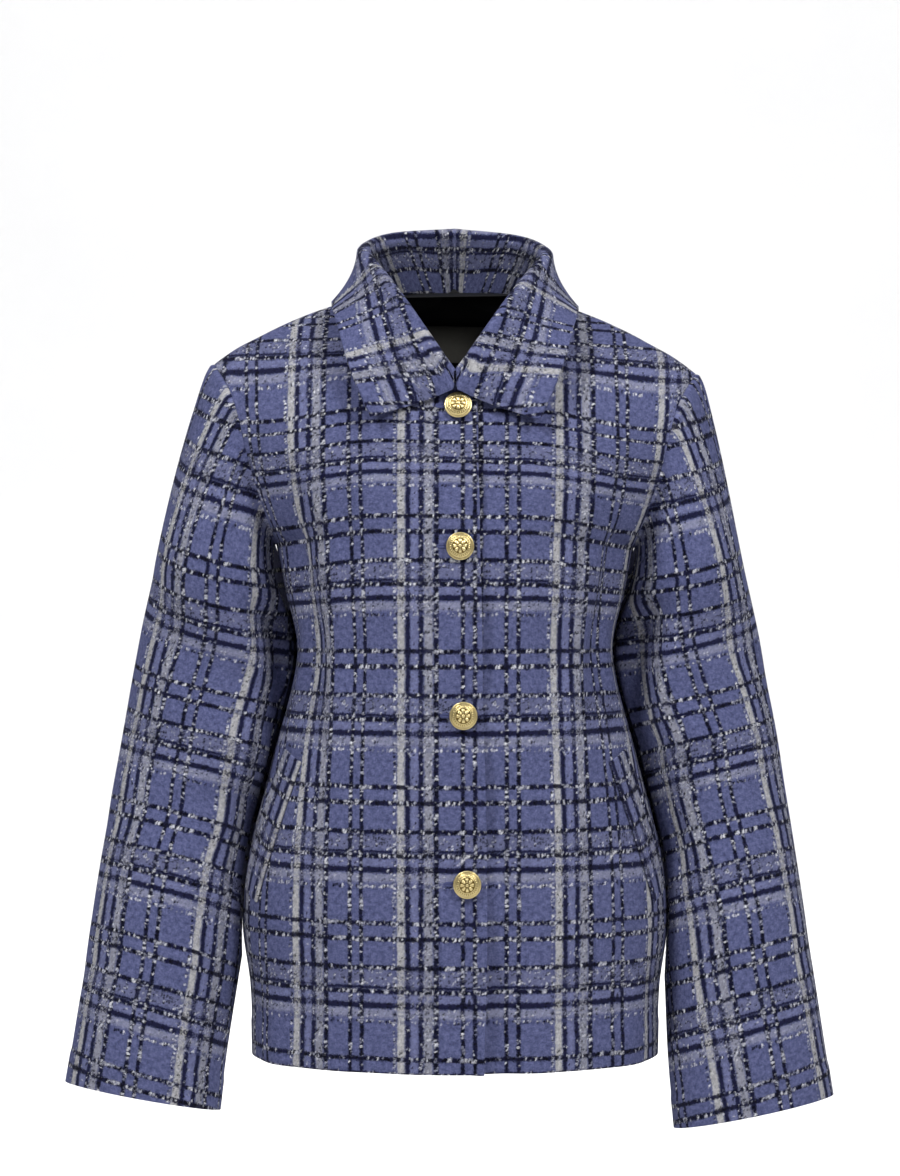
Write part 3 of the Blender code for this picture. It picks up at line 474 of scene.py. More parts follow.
# %% Sections of the body
# name: inner x, y, z, outer x, y, z, the turn of the cloth at the outer end in degrees, the upper front's lap
SECTIONS = {
    "front hem": (0, -122, -657, 178, 4, -657, 90, 24),
    "front skirt": (0, -123, -598, 180, 4, -598, 90, 26),
    "front hip": (0, -124, -540, 187, 4, -540, 90, 27),
    "front pocket": (0, -124, -480, 181, 4, -480, 90, 27),
    "front ribs": (0, -123, -400, 161, 4, -400, 90, 25),
    "front waist": (0, -122, -310, 139, 4, -310, 90, 23),
    "front bust": (0, -122, -250, 150, 4, -250, 90, 22),
    "front underarm": (0, -120, -205, 157, 4, -214, 90, 21),
    "front armhole foot": (0, -117, -180, 158, -24, -206, 80, 21),
    "front armhole low": (0, -112, -150, 167, -45, -179, 66, 20),
    "front armhole middle": (0, -104, -116, 178, -54, -143, 50, 20),
    "front neck": (0, -90, -75, 186, -50, -110, 38, 19),
    "front neck curve": (22, -85, -70, 193, -39, -88, 28, 0),
    "front neck side": (48, -67, -51, 200, -26, -72, 19, 0),
    "front neck top": (65, -36, -22, 207, -11, -59, 9, 0),
    "shoulder": (72, 5, 6, 212, 4, -50, 0, 0),
    "back neck top": (66, 34, 11, 209, 20, -57, -9, 0),
    "back neck curve": (42, 56, 14, 205, 35, -72, -18, 0),
    "back neck": (0, 66, 15, 199, 48, -91, -28, 0),
    "back yoke": (0, 84, -35, 192, 57, -116, -39, 0),
    "back armhole middle": (0, 96, -92, 182, 60, -148, -50, 0),
    "back armhole low": (0, 101, -150, 170, 50, -182, -66, 0),
    "back armhole foot": (0, 102, -188, 158.5, 27, -207, -80, 0),
    "back underarm": (0, 101, -214, 157, 4, -214, -90, 0),
    "back bust": (0, 98, -252, 150, 4, -250, -90, 0),
    "back waist": (0, 94, -310, 139, 4, -310, -90, 0),
    "back ribs": (0, 97, -400, 161, 4, -400, -90, 0),
    "back pocket": (0, 104, -480, 181, 4, -480, -90, 0),
    "back hip": (0, 108, -540, 187, 4, -540, -90, 0),
    "back skirt": (0, 110, -598, 180, 4, -598, -90, 0),
    "back hem": (0, 110, -657, 178, 4, -657, -90, 0),
}
ROW = {name: number for number, name in enumerate(SECTIONS)}
TABLE = np.array(list(SECTIONS.values()), float)
INNER_CORNERS = (ROW["front neck"], ROW["back neck"])
OUTER_CORNERS = (ROW["front underarm"], ROW["back underarm"])
print(len(SECTIONS), "sections, from", list(SECTIONS)[0], "to", list(SECTIONS)[-1])

# %% [markdown]
# ## Curves through the sections
# A curve through a row of values heads, at each value, the way that its neighbours lie, so it passes
# through them all without a kink. Where the real edge turns sharply, as at the neck and the underarm,
# that value is named as a corner. The tip of the shoulder is rounded off by a small drop of its own.

# %% Draw curves through the sections
TIP_DROP = 6
TIP_START = 0.78
TIP_ROWS = 3.2


def smooth(share):
    """0 to 1 with level ends."""
    share = np.clip(share, 0.0, 1.0)
    return share * share * (3 - 2 * share)


def through(values, place, corners=()):
    """The smooth curve through evenly numbered values, with a sharp bend at the numbers in corners."""
    values, place = np.asarray(values, float), np.asarray(place, float)
    first = np.clip(place.astype(int), 0, len(values) - 2)
    t = place - first
    step = values[first + 1] - values[first]
    slopes = np.gradient(values)
    sharp = np.isin(np.arange(len(values)), corners)
    start = np.where(sharp[first], step, slopes[first])
    end = np.where(sharp[first + 1], step, slopes[first + 1])
    t2, t3 = t * t, t * t * t
    return ((2 * t3 - 3 * t2 + 1) * values[first] + (t3 - 2 * t2 + t) * start
            + (3 * t2 - 2 * t3) * values[first + 1] + (t3 - t2) * end)


def inner_end(row):
    return np.stack([through(TABLE[:, k], row, INNER_CORNERS) for k in range(3)], -1)


def tip_drop(row):
    """How far the rounded tip of the shoulder falls at a row."""
    return TIP_DROP * smooth(1 - np.abs(row - ROW["shoulder"]) / TIP_ROWS)


def outer_end(row):
    ends = np.stack([through(TABLE[:, k], row, OUTER_CORNERS) for k in range(3, 6)], -1)
    ends[..., 2] -= tip_drop(row)
    return ends


def middle_slope(row):
    """How far the middle line goes back for each step up; it fades out along the neckline."""
    step, neck, nape = 0.05, ROW["front neck"], ROW["back neck"]
    ahead = row <= ROW["shoulder"]
    low = np.where(ahead, np.maximum(0, np.minimum(row, neck) - step), np.maximum(row - step, nape))
    below = np.minimum(np.maximum(row, nape) + step, len(TABLE) - 1)
    high = np.where(ahead, np.minimum(row + step, neck), below)
    run = inner_end(high) - inner_end(low)
    return run[..., 1] / run[..., 2] * (1 - inner_end(row)[..., 0] / TABLE[ROW["shoulder"], 0])


print("shoulder tip at", np.round(outer_end(float(ROW["shoulder"])), 1), "mm")

# %% [markdown]
# ## The surface of the body
# Seen from above, each section is one cubic curve: it leaves the middle line squarely and reaches the
# side at the turn in the table. A share below 0 goes on past the middle line, where a front laps. Slopes
# and normals are measured by tiny steps, and a girth adds up short steps as a tape would. Last, the whole
# jacket hangs a little askew, as it does in the photograph, with the wearer's right shoulder higher.

# %% Lay the surface of the body
INNER_REACH = 0.56
OUTER_REACH = 0.33
SHOULDER_TILT = 0.02
TILT_FULL_Z = -100
TILT_GONE_Z = -320


def body(share, row):
    """Points of the half jacket's outer face. A share below 0 goes past the middle line, mirrored."""
    share, row = np.broadcast_arrays(np.asarray(share, float), np.asarray(row, float))
    start, end = inner_end(row), outer_end(row)
    turn = np.radians(through(TABLE[:, 6], row))
    reach = OUTER_REACH * np.hypot(end[..., 0] - start[..., 0], end[..., 1] - start[..., 1])
    rise = middle_slope(row) * (end[..., 2] - start[..., 2]) / 3
    first = np.stack([start[..., 0] + INNER_REACH * (end[..., 0] - start[..., 0]), start[..., 1] + rise], -1)
    second = np.stack([end[..., 0] - reach * np.cos(turn), end[..., 1] - reach * np.sin(turn)], -1)
    t = np.abs(share)[..., None]
    back = 1 - t
    flat = (back ** 3 * start[..., :2] + 3 * back * back * t * first
            + 3 * back * t * t * second + t ** 3 * end[..., :2])
    x = np.where(share < 0, 2 * start[..., 0] - flat[..., 0], flat[..., 0])
    drop, rounded = tip_drop(row), np.maximum(0.0, np.abs(share) - TIP_START) / (1 - TIP_START)
    z = start[..., 2] + (end[..., 2] + drop - start[..., 2]) * np.abs(share) - drop * rounded ** 2
    return np.stack([x, flat[..., 1], z], -1)


def unit(vectors):
    return vectors / np.maximum(np.linalg.norm(vectors, axis=-1, keepdims=True), 1e-9)


def share_slope(share, row, step=0.002):
    return (body(share + step, row) - body(share - step, row)) / (2 * step)


def body_normal(share, row, step=0.002):
    low, high = np.maximum(0, row - step), np.minimum(len(TABLE) - 1, row + step)
    up = (body(share, high) - body(share, low)) / (high - low)[..., None]
    return unit(np.cross(share_slope(share, row), up))


def girth_of(share, row, steps=12):
    """Length of cloth from the inner end to a place on a section."""
    share, row = np.broadcast_arrays(np.asarray(share, float), np.asarray(row, float))
    parts = np.linspace(0, 1, steps + 1)
    points = body(share[..., None] * parts, row[..., None])
    return np.sign(share) * np.linalg.norm(np.diff(points, axis=-2), axis=-1).sum(-1)


def hung(points):
    """Points of the level jacket, moved to where they lie as it hangs a little askew."""
    share = smooth((points[..., 2] - TILT_GONE_Z) / (TILT_FULL_Z - TILT_GONE_Z))
    lowered = points.copy()
    lowered[..., 2] -= SHOULDER_TILT * points[..., 0] * share
    return lowered


print("bust half girth", np.round(girth_of(1.0, float(ROW["front bust"])), 1), "mm")

# %% [markdown]
# ## Sheets of cloth
# A sheet starts as a flat grid from bmesh and its vertices are then moved onto the form, row by row. The
# weave map goes in at the same time: for each vertex, how far along and across the cloth it lies. Which
# way a grid faces depends on the order of its points, so one face is tested and the sheet is turned where
# it looks inwards.

# %% Make a sheet on the form
def grid_sheet(points, weave):
    """A bmesh sheet through points in millimetres, rows first, with its weave map in millimetres."""
    bm = bmesh.new()
    rows, columns = points.shape[:2]
    made = bmesh.ops.create_grid(bm, x_segments=columns - 1, y_segments=rows - 1, size=0.5)
    flat = (hung(points) * MM).reshape(-1, 3)
    places = (weave / WEAVE_UNIT).reshape(-1, 2)
    for vertex, point in zip(made["verts"], flat):
        vertex.co = point
    bm.verts.index_update()
    layer = bm.loops.layers.uv.new("weave")
    for face in bm.faces:
        face.smooth = True
        for loop in face.loops:
            loop[layer].uv = places[loop.vert.index]
    return bm


def face_towards(bm, probe, direction):
    """Turns the whole sheet so that the face nearest a probe point looks along a direction."""
    bm.normal_update()
    probe = Vector(probe) * MM
    nearest = min(bm.faces, key=lambda face: (face.calc_center_median() - probe).length_squared)
    if nearest.normal.dot(Vector(direction)) < 0:
        bmesh.ops.reverse_faces(bm, faces=bm.faces[:])


print("one unit of the weave map is", WEAVE_UNIT, "mm of cloth")

# %% [markdown]
# ## Pieces of the jacket
# A Solidify modifier gives the sheet its wall and puts the lining on the inside, and a small Bevel
# softens the cut edges. Modifiers keep the sheet itself simple, so its grid can still be changed. Every
# piece then hangs from the body that carries it, and the plain solid that it stands for is hidden.

# %% Finish a piece
CLOTH = 2.6
SEAM_GAP = 0.4
BEVEL_ANGLE = math.radians(50)
PIECES = []


def add_piece(name, bm, *finishes):
    """A new object from a bmesh, with its finishes."""
    mesh = bpy.data.meshes.new(name)
    bm.to_mesh(mesh)
    bm.free()
    for finish in finishes:
        mesh.materials.append(finish)
    piece = bpy.data.objects.new(name, mesh)
    bpy.context.scene.collection.objects.link(piece)
    return piece


def give_wall(piece, thickness, offset=-1.0, edge=0.7):
    """A wall for a sheet, with the second finish on its inner face and its cut edges softened."""
    wall = piece.modifiers.new("wall", "SOLIDIFY")
    wall.thickness = thickness * MM
    wall.offset = offset
    wall.use_quality_normals = True
    wall.material_offset = 1 if len(piece.data.materials) > 1 else 0
    soft = piece.modifiers.new("soft_edges", "BEVEL")
    soft.width = edge * MM
    soft.segments = 2
    soft.limit_method = "ANGLE"
    soft.angle_limit = BEVEL_ANGLE
    return piece


def triangles(piece):
    shown = piece.evaluated_get(bpy.context.evaluated_depsgraph_get())
    mesh = shown.to_mesh()
    mesh.calc_loop_triangles()
    count = len(mesh.loop_triangles)
    shown.to_mesh_clear()
    return count


def finish_piece(piece, node):
    """Puts a piece on the jacket in place of its plain solid."""
    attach(piece, "root")
    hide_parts(node)
    PIECES.append(piece)
    print(piece.name, triangles(piece), "triangles")
    return piece


print("cloth", CLOTH, "mm thick, seams", SEAM_GAP, "mm apart")

# %% [markdown]
# ## Folds
# Worn wool hangs in a few broad folds: drag lines from the underarm, a hollow at the waist and soft
# flutes at the hem. Each fold is listed with its own lean, length, width and height, so that the
# two fronts differ. The turned hem is a little thicker than the cloth, which shows as a soft ridge.

# %% Place the folds of the body
# girth from the middle line, height, lean in degrees, half length, half width, height of the fold
RIGHT_FOLDS = [(150, -250, 8, 90, 20, -7), (118, -260, 4, 110, 17, 5), (176, -330, -24, 80, 16, 6),
               (170, -640, 6, 90, 22, 4), (70, -610, 0, 110, 26, -3),
               (132, -180, 30, 42, 8, -1.8), (112, -206, 24, 50, 9, 1.4), (92, -330, -8, 60, 14, -1.5),
               (40, -300, 3, 120, 16, 1.2), (128, -560, -4, 70, 15, -1.6), (30, -150, 12, 40, 14, -1.0)]
LEFT_FOLDS = [(152, -255, 10, 80, 19, -7), (122, -270, 5, 100, 17, 5), (180, -335, -22, 75, 16, 6),
              (46, -600, 0, 150, 18, -4), (165, -630, 5, 90, 22, 4),
              (136, -178, 26, 40, 8, -1.7), (108, -215, 20, 46, 9, 1.3), (84, -345, -5, 70, 15, -1.4),
              (58, -270, 2, 110, 15, 1.1), (100, -590, 3, 80, 14, -1.6), (38, -140, 8, 40, 14, -0.9)]
BACK_FOLDS = [(60, -560, 2, 150, 26, 5), (112, -590, -4, 130, 24, -5), (120, -300, 14, 90, 18, 5),
              (92, -230, 20, 80, 17, -4), (140, -190, 26, 44, 9, -1.6), (118, -206, 20, 50, 10, 1.4),
              (30, -330, 2, 70, 22, -1.5), (70, -120, 12, 60, 20, 1.2)]
FRONT_FOLDS = {-1: RIGHT_FOLDS, 1: LEFT_FOLDS}
FOLD_LAST_SHARE = 0.92
FOLD_FADE_SHARE = 0.25
HEM_RIDGE = 0.7
HEM_DEPTH = 34
RIDGE_SLOPE = 6


def fold_height(folds, girth, z):
    """How far the folds move the cloth out at places."""
    height = np.zeros_like(girth)
    for middle, level, lean, length, width, rise in folds:
        lean = math.radians(lean)
        across, up = girth - middle, z - level
        along = up * math.cos(lean) + across * math.sin(lean)
        aside = across * math.cos(lean) - up * math.sin(lean)
        height += rise * np.exp(-((along / length) ** 2) - (aside / width) ** 2)
    return height


def cloth_point(share, row, folds, out=0.0):
    """Points of the body with their folds, moved out along the cloth's normal. Folds fade at the seams."""
    share, row = np.broadcast_arrays(np.asarray(share, float), np.asarray(row, float))
    point, normal = body(share, row), body_normal(share, row)
    fade = np.where(share > 0, smooth((FOLD_LAST_SHARE - share) / FOLD_FADE_SHARE), 1.0)
    rise = fold_height(folds, girth_of(share, row), point[..., 2]) * fade + out
    return point + normal * rise[..., None]


def hem_ridge(z):
    """The turned hem's extra thickness at a height."""
    up = z - TABLE[0, 2]
    return HEM_RIDGE * smooth((HEM_DEPTH - up) / RIDGE_SLOPE)


print(sum(len(folds) for folds in (RIGHT_FOLDS, LEFT_FOLDS, BACK_FOLDS)), "folds on the body")

# %% [markdown]
# ## Matching the check
# The check was cut so that its cross lines meet at the side seams. A short table says which part of the
# chart lies at which height: the lines come closer over the chest, where the cloth leans back from the
# camera, and on the shoulder, where it lies nearly level. The lines also droop a little towards the
# armholes.

LEVELS = np.array([-700, -565.5, -451.3, -337.1, -223.4, -186.9, -123.9, -108, -96.2, -67.8, -34, 20])
CHART = np.array([5.178, 4.0, 3.0, 2.0, 1.0, 0.676, 0.0, -0.21, -0.324, -0.592, -1.0, -1.80])
BACK_LEVELS = np.array([-700, -565.5, -451.3, -337.1, -223.4, -110, -50, 20])
BACK_CHART = np.array([5.178, 4.0, 3.0, 2.0, 1.0, 0.0, -0.62, -1.55])
RIGHT_GREY_AT = -46
LEFT_GREY_AT = 89
BACK_GREY_AT = 20
DROOP = 12
DROOP_FROM_X, DROOP_FADE_X = 60, 110
DROOP_FOOT_Z, DROOP_FOOT_FADE = -330, 130
DROOP_TOP_Z, DROOP_TOP_FADE = -40, 50


def down_chart(z, levels, chart):
    """Millimetres down the weft chart at a height."""
    return np.interp(z, levels, chart) * WEFT_REPEAT


def droop(points):
    """How far the cross lines hang towards the armholes."""
    x, z = points[..., 0], points[..., 2]
    aside = smooth((np.abs(x) - DROOP_FROM_X) / DROOP_FADE_X)
    level = smooth((z - DROOP_FOOT_Z) / DROOP_FOOT_FADE) * smooth((DROOP_TOP_Z - z) / DROOP_TOP_FADE)
    return DROOP * aside * level


print("one repeat lies over", round(LEVELS[4] - LEVELS[3], 1), "mm at the ribs")

# %% [markdown]
# ## The fronts
# The fronts lap at the middle, the wearer's right one on top, and meet the back at the side and shoulder
# seams. Where it lies under the lap, the left front is set back by the thickness of the cloth. Every
# sheet stops just short of its seams, so that no two pieces touch.

# %% Form of the fronts
UNDER_LAP = 18
LAP_DROP = CLOTH + 0.9
LAP_FULL_X = 31
LAP_FREE_X = 58
SHOULDER_STOP = 0.006


def seam_share(row):
    """The share where a section stops, half a seam gap short of its outer end."""
    return 1 - SEAM_GAP / 2 / np.linalg.norm(share_slope(np.ones_like(row), row), axis=-1)


def rows_from(first, last, steps):
    """Row places from one section to another, stopping short of the shoulder seam."""
    rows = np.linspace(first, last, (last - first) * steps + 1)
    rows[rows == ROW["shoulder"]] += SHOULDER_STOP if first == ROW["shoulder"] else -SHOULDER_STOP
    return rows


def lap_share(side, row):
    """The share, below 0, where a front's edge lies past the middle line."""
    lap = through(TABLE[:, 7], row, INNER_CORNERS) if side == -1 else np.full_like(row, UNDER_LAP)
    lap = lap / np.linalg.norm(share_slope(np.zeros_like(row), row), axis=-1)
    return np.where(row > ROW["front neck"], 0.0, -lap)


def front_point(side, share, row, out=0.0):
    """Points of one front in half jacket coordinates, the under front set back behind the lap."""
    point = cloth_point(share, row, FRONT_FOLDS[side], out)
    if side == 1:
        drop = LAP_DROP * smooth((LAP_FREE_X - point[..., 0]) / (LAP_FREE_X - LAP_FULL_X))
        point = point - body_normal(share, row) * drop[..., None]
    return point


def mirrored(points, side):
    return points * np.array([side, 1, 1])


def front_weave(side, share, row, points):
    """The weave map of a front: millimetres along the warp and the weft chart."""
    across = side * (girth_of(share, row) + inner_end(row)[..., 0])
    across = across - (RIGHT_GREY_AT if side == -1 else LEFT_GREY_AT) + GREY_MIDDLE
    return np.stack([across, down_chart(points[..., 2] + droop(points), LEVELS, CHART)], -1)


print("past the middle line: upper front", TABLE[ROW["front waist"], 7], "mm, under front", UNDER_LAP, "mm")

# %% [markdown]
# ## Sewing the fronts
# A facing makes the lapping edge a little thicker. The buttons hold this edge down, and between them it
# lifts away, so it throws the thin shadow that draws the line of the closing. Both fronts come from one
# function, and the side, -1 for the wearer's right and 1 for the left, chooses the folds, the lap and the
# place of the check.

# %% Sew the fronts
EDGE_RIDGE = 0.35
EDGE_DEPTH = 15
EDGE_SLOPE = 5
BUTTON_HEIGHTS = (-95, -214, -356, -497)
EDGE_LIFT = 4.0
EDGE_LIFT_WIDTH = 13
BUTTON_HOLD = 34
FRONT_STEPS = 84
ROW_STEPS = 17


def lapping_edge(height, row, from_edge):
    """The extra thickness of the faced edge, and how far it lifts between the buttons."""
    faced = EDGE_RIDGE * smooth((EDGE_DEPTH - from_edge) / EDGE_SLOPE) * (row < ROW["front neck"])
    free = [1 - np.exp(-(((height - button) / BUTTON_HOLD) ** 2)) for button in BUTTON_HEIGHTS]
    free = np.prod(free, axis=0) * smooth((BUTTON_HEIGHTS[0] - height) / BUTTON_HOLD)
    return faced, EDGE_LIFT * free * smooth(1 - from_edge / EDGE_LIFT_WIDTH)


def sew_front(side, name):
    rows = rows_from(0, ROW["shoulder"], ROW_STEPS)
    start, stop = lap_share(side, rows), seam_share(rows)
    share = start[:, None] + (stop - start)[:, None] * np.linspace(0, 1, FRONT_STEPS)
    row = np.broadcast_to(rows[:, None], share.shape)
    from_edge = (share - start[:, None]) * np.linalg.norm(share_slope(share, row), axis=-1)
    height = body(share, row)[..., 2]
    ridge = hem_ridge(height)
    if side == -1:
        faced, lift = lapping_edge(height, row, from_edge)
        ridge = np.maximum(ridge, faced) + lift
    points = front_point(side, share, row, ridge)
    bm = grid_sheet(mirrored(points, side), front_weave(side, share, row, points))
    face_towards(bm, (60 * side, -118, -400), (0, -1, 0))
    return give_wall(add_piece(name, bm, BOUCLE, LINING), CLOTH)


front_right = finish_piece(sew_front(-1, "front_right_cloth"), "front_right")
front_left = finish_piece(sew_front(1, "front_left_cloth"), "front_left")

# %% [markdown]
# ## The back
# The back is one piece without a middle seam. Only half of its points need working out, because their
# mirror image gives the other half. The check must not be mirrored, so each half gets a weave map of its
# own. The halves are then welded along the middle line.

# %% Sew the back
BACK_STEPS = 72
BACK_ROW_STEPS = 14
MIDDLE_WELD = 2e-5


def join_halves(bm, half):
    """Adds the mirrored half of a sheet to the first half and welds them along the middle line."""
    bmesh.ops.reverse_faces(half, faces=half.faces[:])
    other = bpy.data.meshes.new("half")
    half.to_mesh(other)
    half.free()
    bm.from_mesh(other)
    bpy.data.meshes.remove(other)
    bmesh.ops.remove_doubles(bm, verts=bm.verts[:], dist=MIDDLE_WELD)


def sew_back():
    rows = rows_from(ROW["shoulder"], ROW["back hem"], BACK_ROW_STEPS)
    share = seam_share(rows)[:, None] * np.linspace(0, 1, BACK_STEPS)
    row = np.broadcast_to(rows[:, None], share.shape)
    points = cloth_point(share, row, BACK_FOLDS, hem_ridge(body(share, row)[..., 2]))
    down = down_chart(points[..., 2], BACK_LEVELS, BACK_CHART)
    halves = []
    for side in (-1, 1):
        across = -side * (girth_of(share, row) + inner_end(row)[..., 0]) - BACK_GREY_AT + GREY_MIDDLE
        halves.append(grid_sheet(mirrored(points, side), np.stack([across, down], -1)))
    bm, half = halves
    join_halves(bm, half)
    face_towards(bm, (60, 100, -400), (0, 1, 0))
    return give_wall(add_piece("back_cloth", bm, BOUCLE, LINING), CLOTH)


back = finish_piece(sew_back(), "back")

# %% [markdown]
# ## The sleeves
# A set-in sleeve is a tube whose top is curved to fit the armhole. Rings give the tube its width, depth
# and lean, and where it would enter the body it rests against the body's side instead. The cloth caves in
# down the inner front of each sleeve, next to the body, and the shade in that hollow parts the sleeve
# from the body. The folds are listed like those of the body, but their places are shares of the sleeve's
# length and angles round it, 0 outside and 90 in front.

# %% Form of the sleeves
SIDE_SEAM_Y = 4
# height of the middle, outer and inner reach, how far back the middle hangs, half depth, tilt in degrees
SLEEVES = {
    -1: np.array([(-238, 267, 150, 9, 68, 6), (-320, 283, 124, 20, 65, 7), (-400, 297, 146, 19, 63, 8),
                  (-480, 310, 174, 8, 61, 8.5), (-560, 321, 186, -6, 59, 9), (-640, 332, 198, -17, 56, 10),
                  (-691, 340, 204, -23, 53, 10.5)], float),
    1: np.array([(-238, 256, 150, 9, 68, 6), (-320, 274, 124, 19, 65, 7), (-400, 287, 146, 18, 63, 8),
                 (-480, 299, 174, 8, 61, 8.5), (-560, 310, 182, -4, 59, 9), (-645, 322, 185, -14, 56, 11),
                 (-705, 331, 190, -20, 53, 12)], float),
}
# along the sleeve, round it in degrees, half length, spread in degrees, slant, height
SLEEVE_FOLDS = {
    -1: [(0.05, 222, 0.16, 34, 0.0, 9), (0.30, 120, 0.045, 60, 0.05, 5), (0.42, 100, 0.05, 70, -0.04, -4),
         (0.10, 60, 0.06, 55, 0.08, -5), (0.38, 265, 0.05, 60, 0.03, 5), (0.22, 140, 0.018, 40, 0.05, -1.8),
         (0.36, 130, 0.02, 45, -0.03, 1.6), (0.55, 110, 0.03, 50, 0.04, 1.4),
         (0.70, 60, 0.04, 60, -0.05, -1.5)],
    1: [(0.05, 222, 0.16, 34, 0.0, 9), (0.26, 110, 0.045, 60, -0.05, 5), (0.46, 120, 0.05, 60, 0.04, -4),
        (0.10, 65, 0.06, 50, -0.08, -5), (0.36, 270, 0.05, 60, -0.03, 5), (0.20, 145, 0.018, 40, -0.05, -1.8),
        (0.33, 130, 0.02, 45, 0.03, 1.6), (0.60, 100, 0.03, 55, -0.04, 1.4),
        (0.74, 70, 0.04, 60, 0.05, -1.5)],
}
# the hollow: its depth, where it starts and ends round the sleeve in degrees, and where along it, as shares
HOLLOW_DEPTH = {-1: 24, 1: 27}
HOLLOW_START = {-1: 106, 1: 98}
HOLLOW_TURN = 40
HOLLOW_EDGE = 20
HOLLOW_LAST = 190
HOLLOW_RISE = 0.08
HOLLOW_END = 0.66
HOLLOW_FADE = 0.4
REST_CLEARANCE = 3.4
UNDERARM_CLEARANCE = 7.0
UNDERARM_CLEAR_DEPTH = 40
STEEPEST_CLEARANCE = 4
NO_BODY = -1000.0
HALVINGS = 22


def body_reach(y, z):
    """How far the body's side reaches out at depths and heights below the underarm, or NO_BODY."""
    ahead = y < SIDE_SEAM_Y
    low = np.where(ahead, 0.0, ROW["back underarm"])
    high = np.where(ahead, ROW["front underarm"], len(TABLE) - 1.0)
    for _ in range(HALVINGS):
        row = (low + high) / 2
        short = (body(0.8, row)[..., 2] < z) == ahead
        low, high = np.where(short, row, low), np.where(short, high, row)
    middle = inner_end(row)[..., 1]
    past = np.where(ahead, y < middle, y > middle)
    low, high = np.zeros_like(y), np.ones_like(y)
    for _ in range(HALVINGS):
        share = (low + high) / 2
        short = (body(share, row)[..., 1] < y) == ahead
        low, high = np.where(short, share, low), np.where(short, high, share)
    return np.where(past, NO_BODY, body(share, row)[..., 0])


def sleeve_hollow(side, place, degrees):
    """How much of the hollow lies at places down a sleeve and round it."""
    past = degrees - HOLLOW_START[side] - HOLLOW_TURN * place
    hollow = smooth(past / HOLLOW_EDGE) * smooth((HOLLOW_LAST - degrees) / HOLLOW_EDGE)
    return hollow * smooth(place / HOLLOW_RISE) * smooth((HOLLOW_END - place) / HOLLOW_FADE)


def sleeve_ring(side, place, angle):
    """Points of a sleeve's outer face below the cap; place 0 is the first ring and 1 the cuff."""
    rings = SLEEVES[side]
    place, angle = np.broadcast_arrays(np.asarray(place, float), np.asarray(angle, float))
    number = place * (len(rings) - 1)
    z, outer, inner, y, depth, tilt = [through(rings[:, k], number) for k in range(6)]
    tilt = np.radians(tilt)
    fold = np.zeros_like(place)
    for along, middle, length, spread, slant, rise in SLEEVE_FOLDS[side]:
        turn = (np.degrees(angle) - middle + 180) % 360 - 180
        gap = place - along - slant * turn / spread
        fold += rise * np.exp(-((gap / length) ** 2) - (turn / spread) ** 2)
    across = ((outer - inner) / 2 + fold) * np.cos(angle)
    hollow = sleeve_hollow(side, place, np.degrees(angle))
    forward = (depth + fold) * np.sin(angle) - HOLLOW_DEPTH[side] * hollow
    low, high = np.maximum(0, number - 0.4), np.minimum(len(rings) - 1, number + 0.4)
    pitch = (through(rings[:, 3], high) - through(rings[:, 3], low)) / (
        through(rings[:, 0], high) - through(rings[:, 0], low))
    x = (outer + inner) / 2 + across * np.cos(tilt)
    point_y = y - forward
    height = z + across * np.sin(tilt) + forward * pitch
    reach = body_reach(point_y, height)
    beside = body_reach(point_y + np.where(point_y < SIDE_SEAM_Y, 1.0, -1.0), height)
    near = smooth((height - rings[0, 0] + UNDERARM_CLEAR_DEPTH) / UNDERARM_CLEAR_DEPTH)
    clear = REST_CLEARANCE + (UNDERARM_CLEARANCE - REST_CLEARANCE) * near
    rest = reach + clear * np.minimum(STEEPEST_CLEARANCE, np.hypot(1, beside - reach))
    x = np.where((across < 0) & (reach > NO_BODY), np.maximum(x, rest), x)
    return np.stack([x, point_y, height], -1)


print("sleeve rings:", len(SLEEVES[-1]), "right and", len(SLEEVES[1]), "left")

# %% [markdown]
# ## The sleeve cap
# A tailor eases more cloth into the cap than the armhole is long, so the sleeve leaves the shoulder with
# a small raised head and a few faint puckers. Here each point of the armhole is joined to the first ring
# by a curve that sets out the way the body's cloth runs and arrives the way the sleeve falls. The edge is
# tucked under the body's cloth at the seam.

# %% Curve the sleeve caps
SLEEVE_COLUMNS = 132
CAP_STEPS = 44
CAP_CROWDING = 1.35
SLEEVE_STEPS = 168
HEAD_FULLNESS = 56
UNDERARM_FULLNESS = 24
CAP_FALL = 120
UNDERARM_FALL = 55
HEAD_ROLL = 1.6
PUCKER_HEIGHT = 0.35
PUCKERS = 23
# shares of the cap over which the roll and the puckers rise, and where and over what they fade again
ROLL_RISE, ROLL_END, ROLL_FADE = 0.05, 0.34, 0.24
PUCKER_RISE, PUCKER_END, PUCKER_FADE = 0.03, 0.16, 0.12
SEAM_TUCK = 4.0
SEAM_DIP = 1.0


def run_along(points, axis=0):
    """The length passed from the first point to each point, along one axis of an array of points."""
    steps = np.linalg.norm(np.diff(points, axis=axis), axis=-1)
    return np.insert(steps.cumsum(axis), 0, 0.0, axis=axis)


def armhole_rows(angles):
    """The armhole's row at angles round the sleeve: down the front from the shoulder, then up the back."""
    found = np.zeros_like(angles)
    for first, last, start in ((ROW["shoulder"], ROW["front underarm"], 0.0),
                               (ROW["back underarm"], ROW["shoulder"], math.pi)):
        rows = np.linspace(first, last, 400)
        run = run_along(outer_end(rows))
        here = (angles >= start) & (angles <= start + math.pi)
        found[here] = np.interp((angles[here] - start) / math.pi, run / run[-1], rows)
    return found


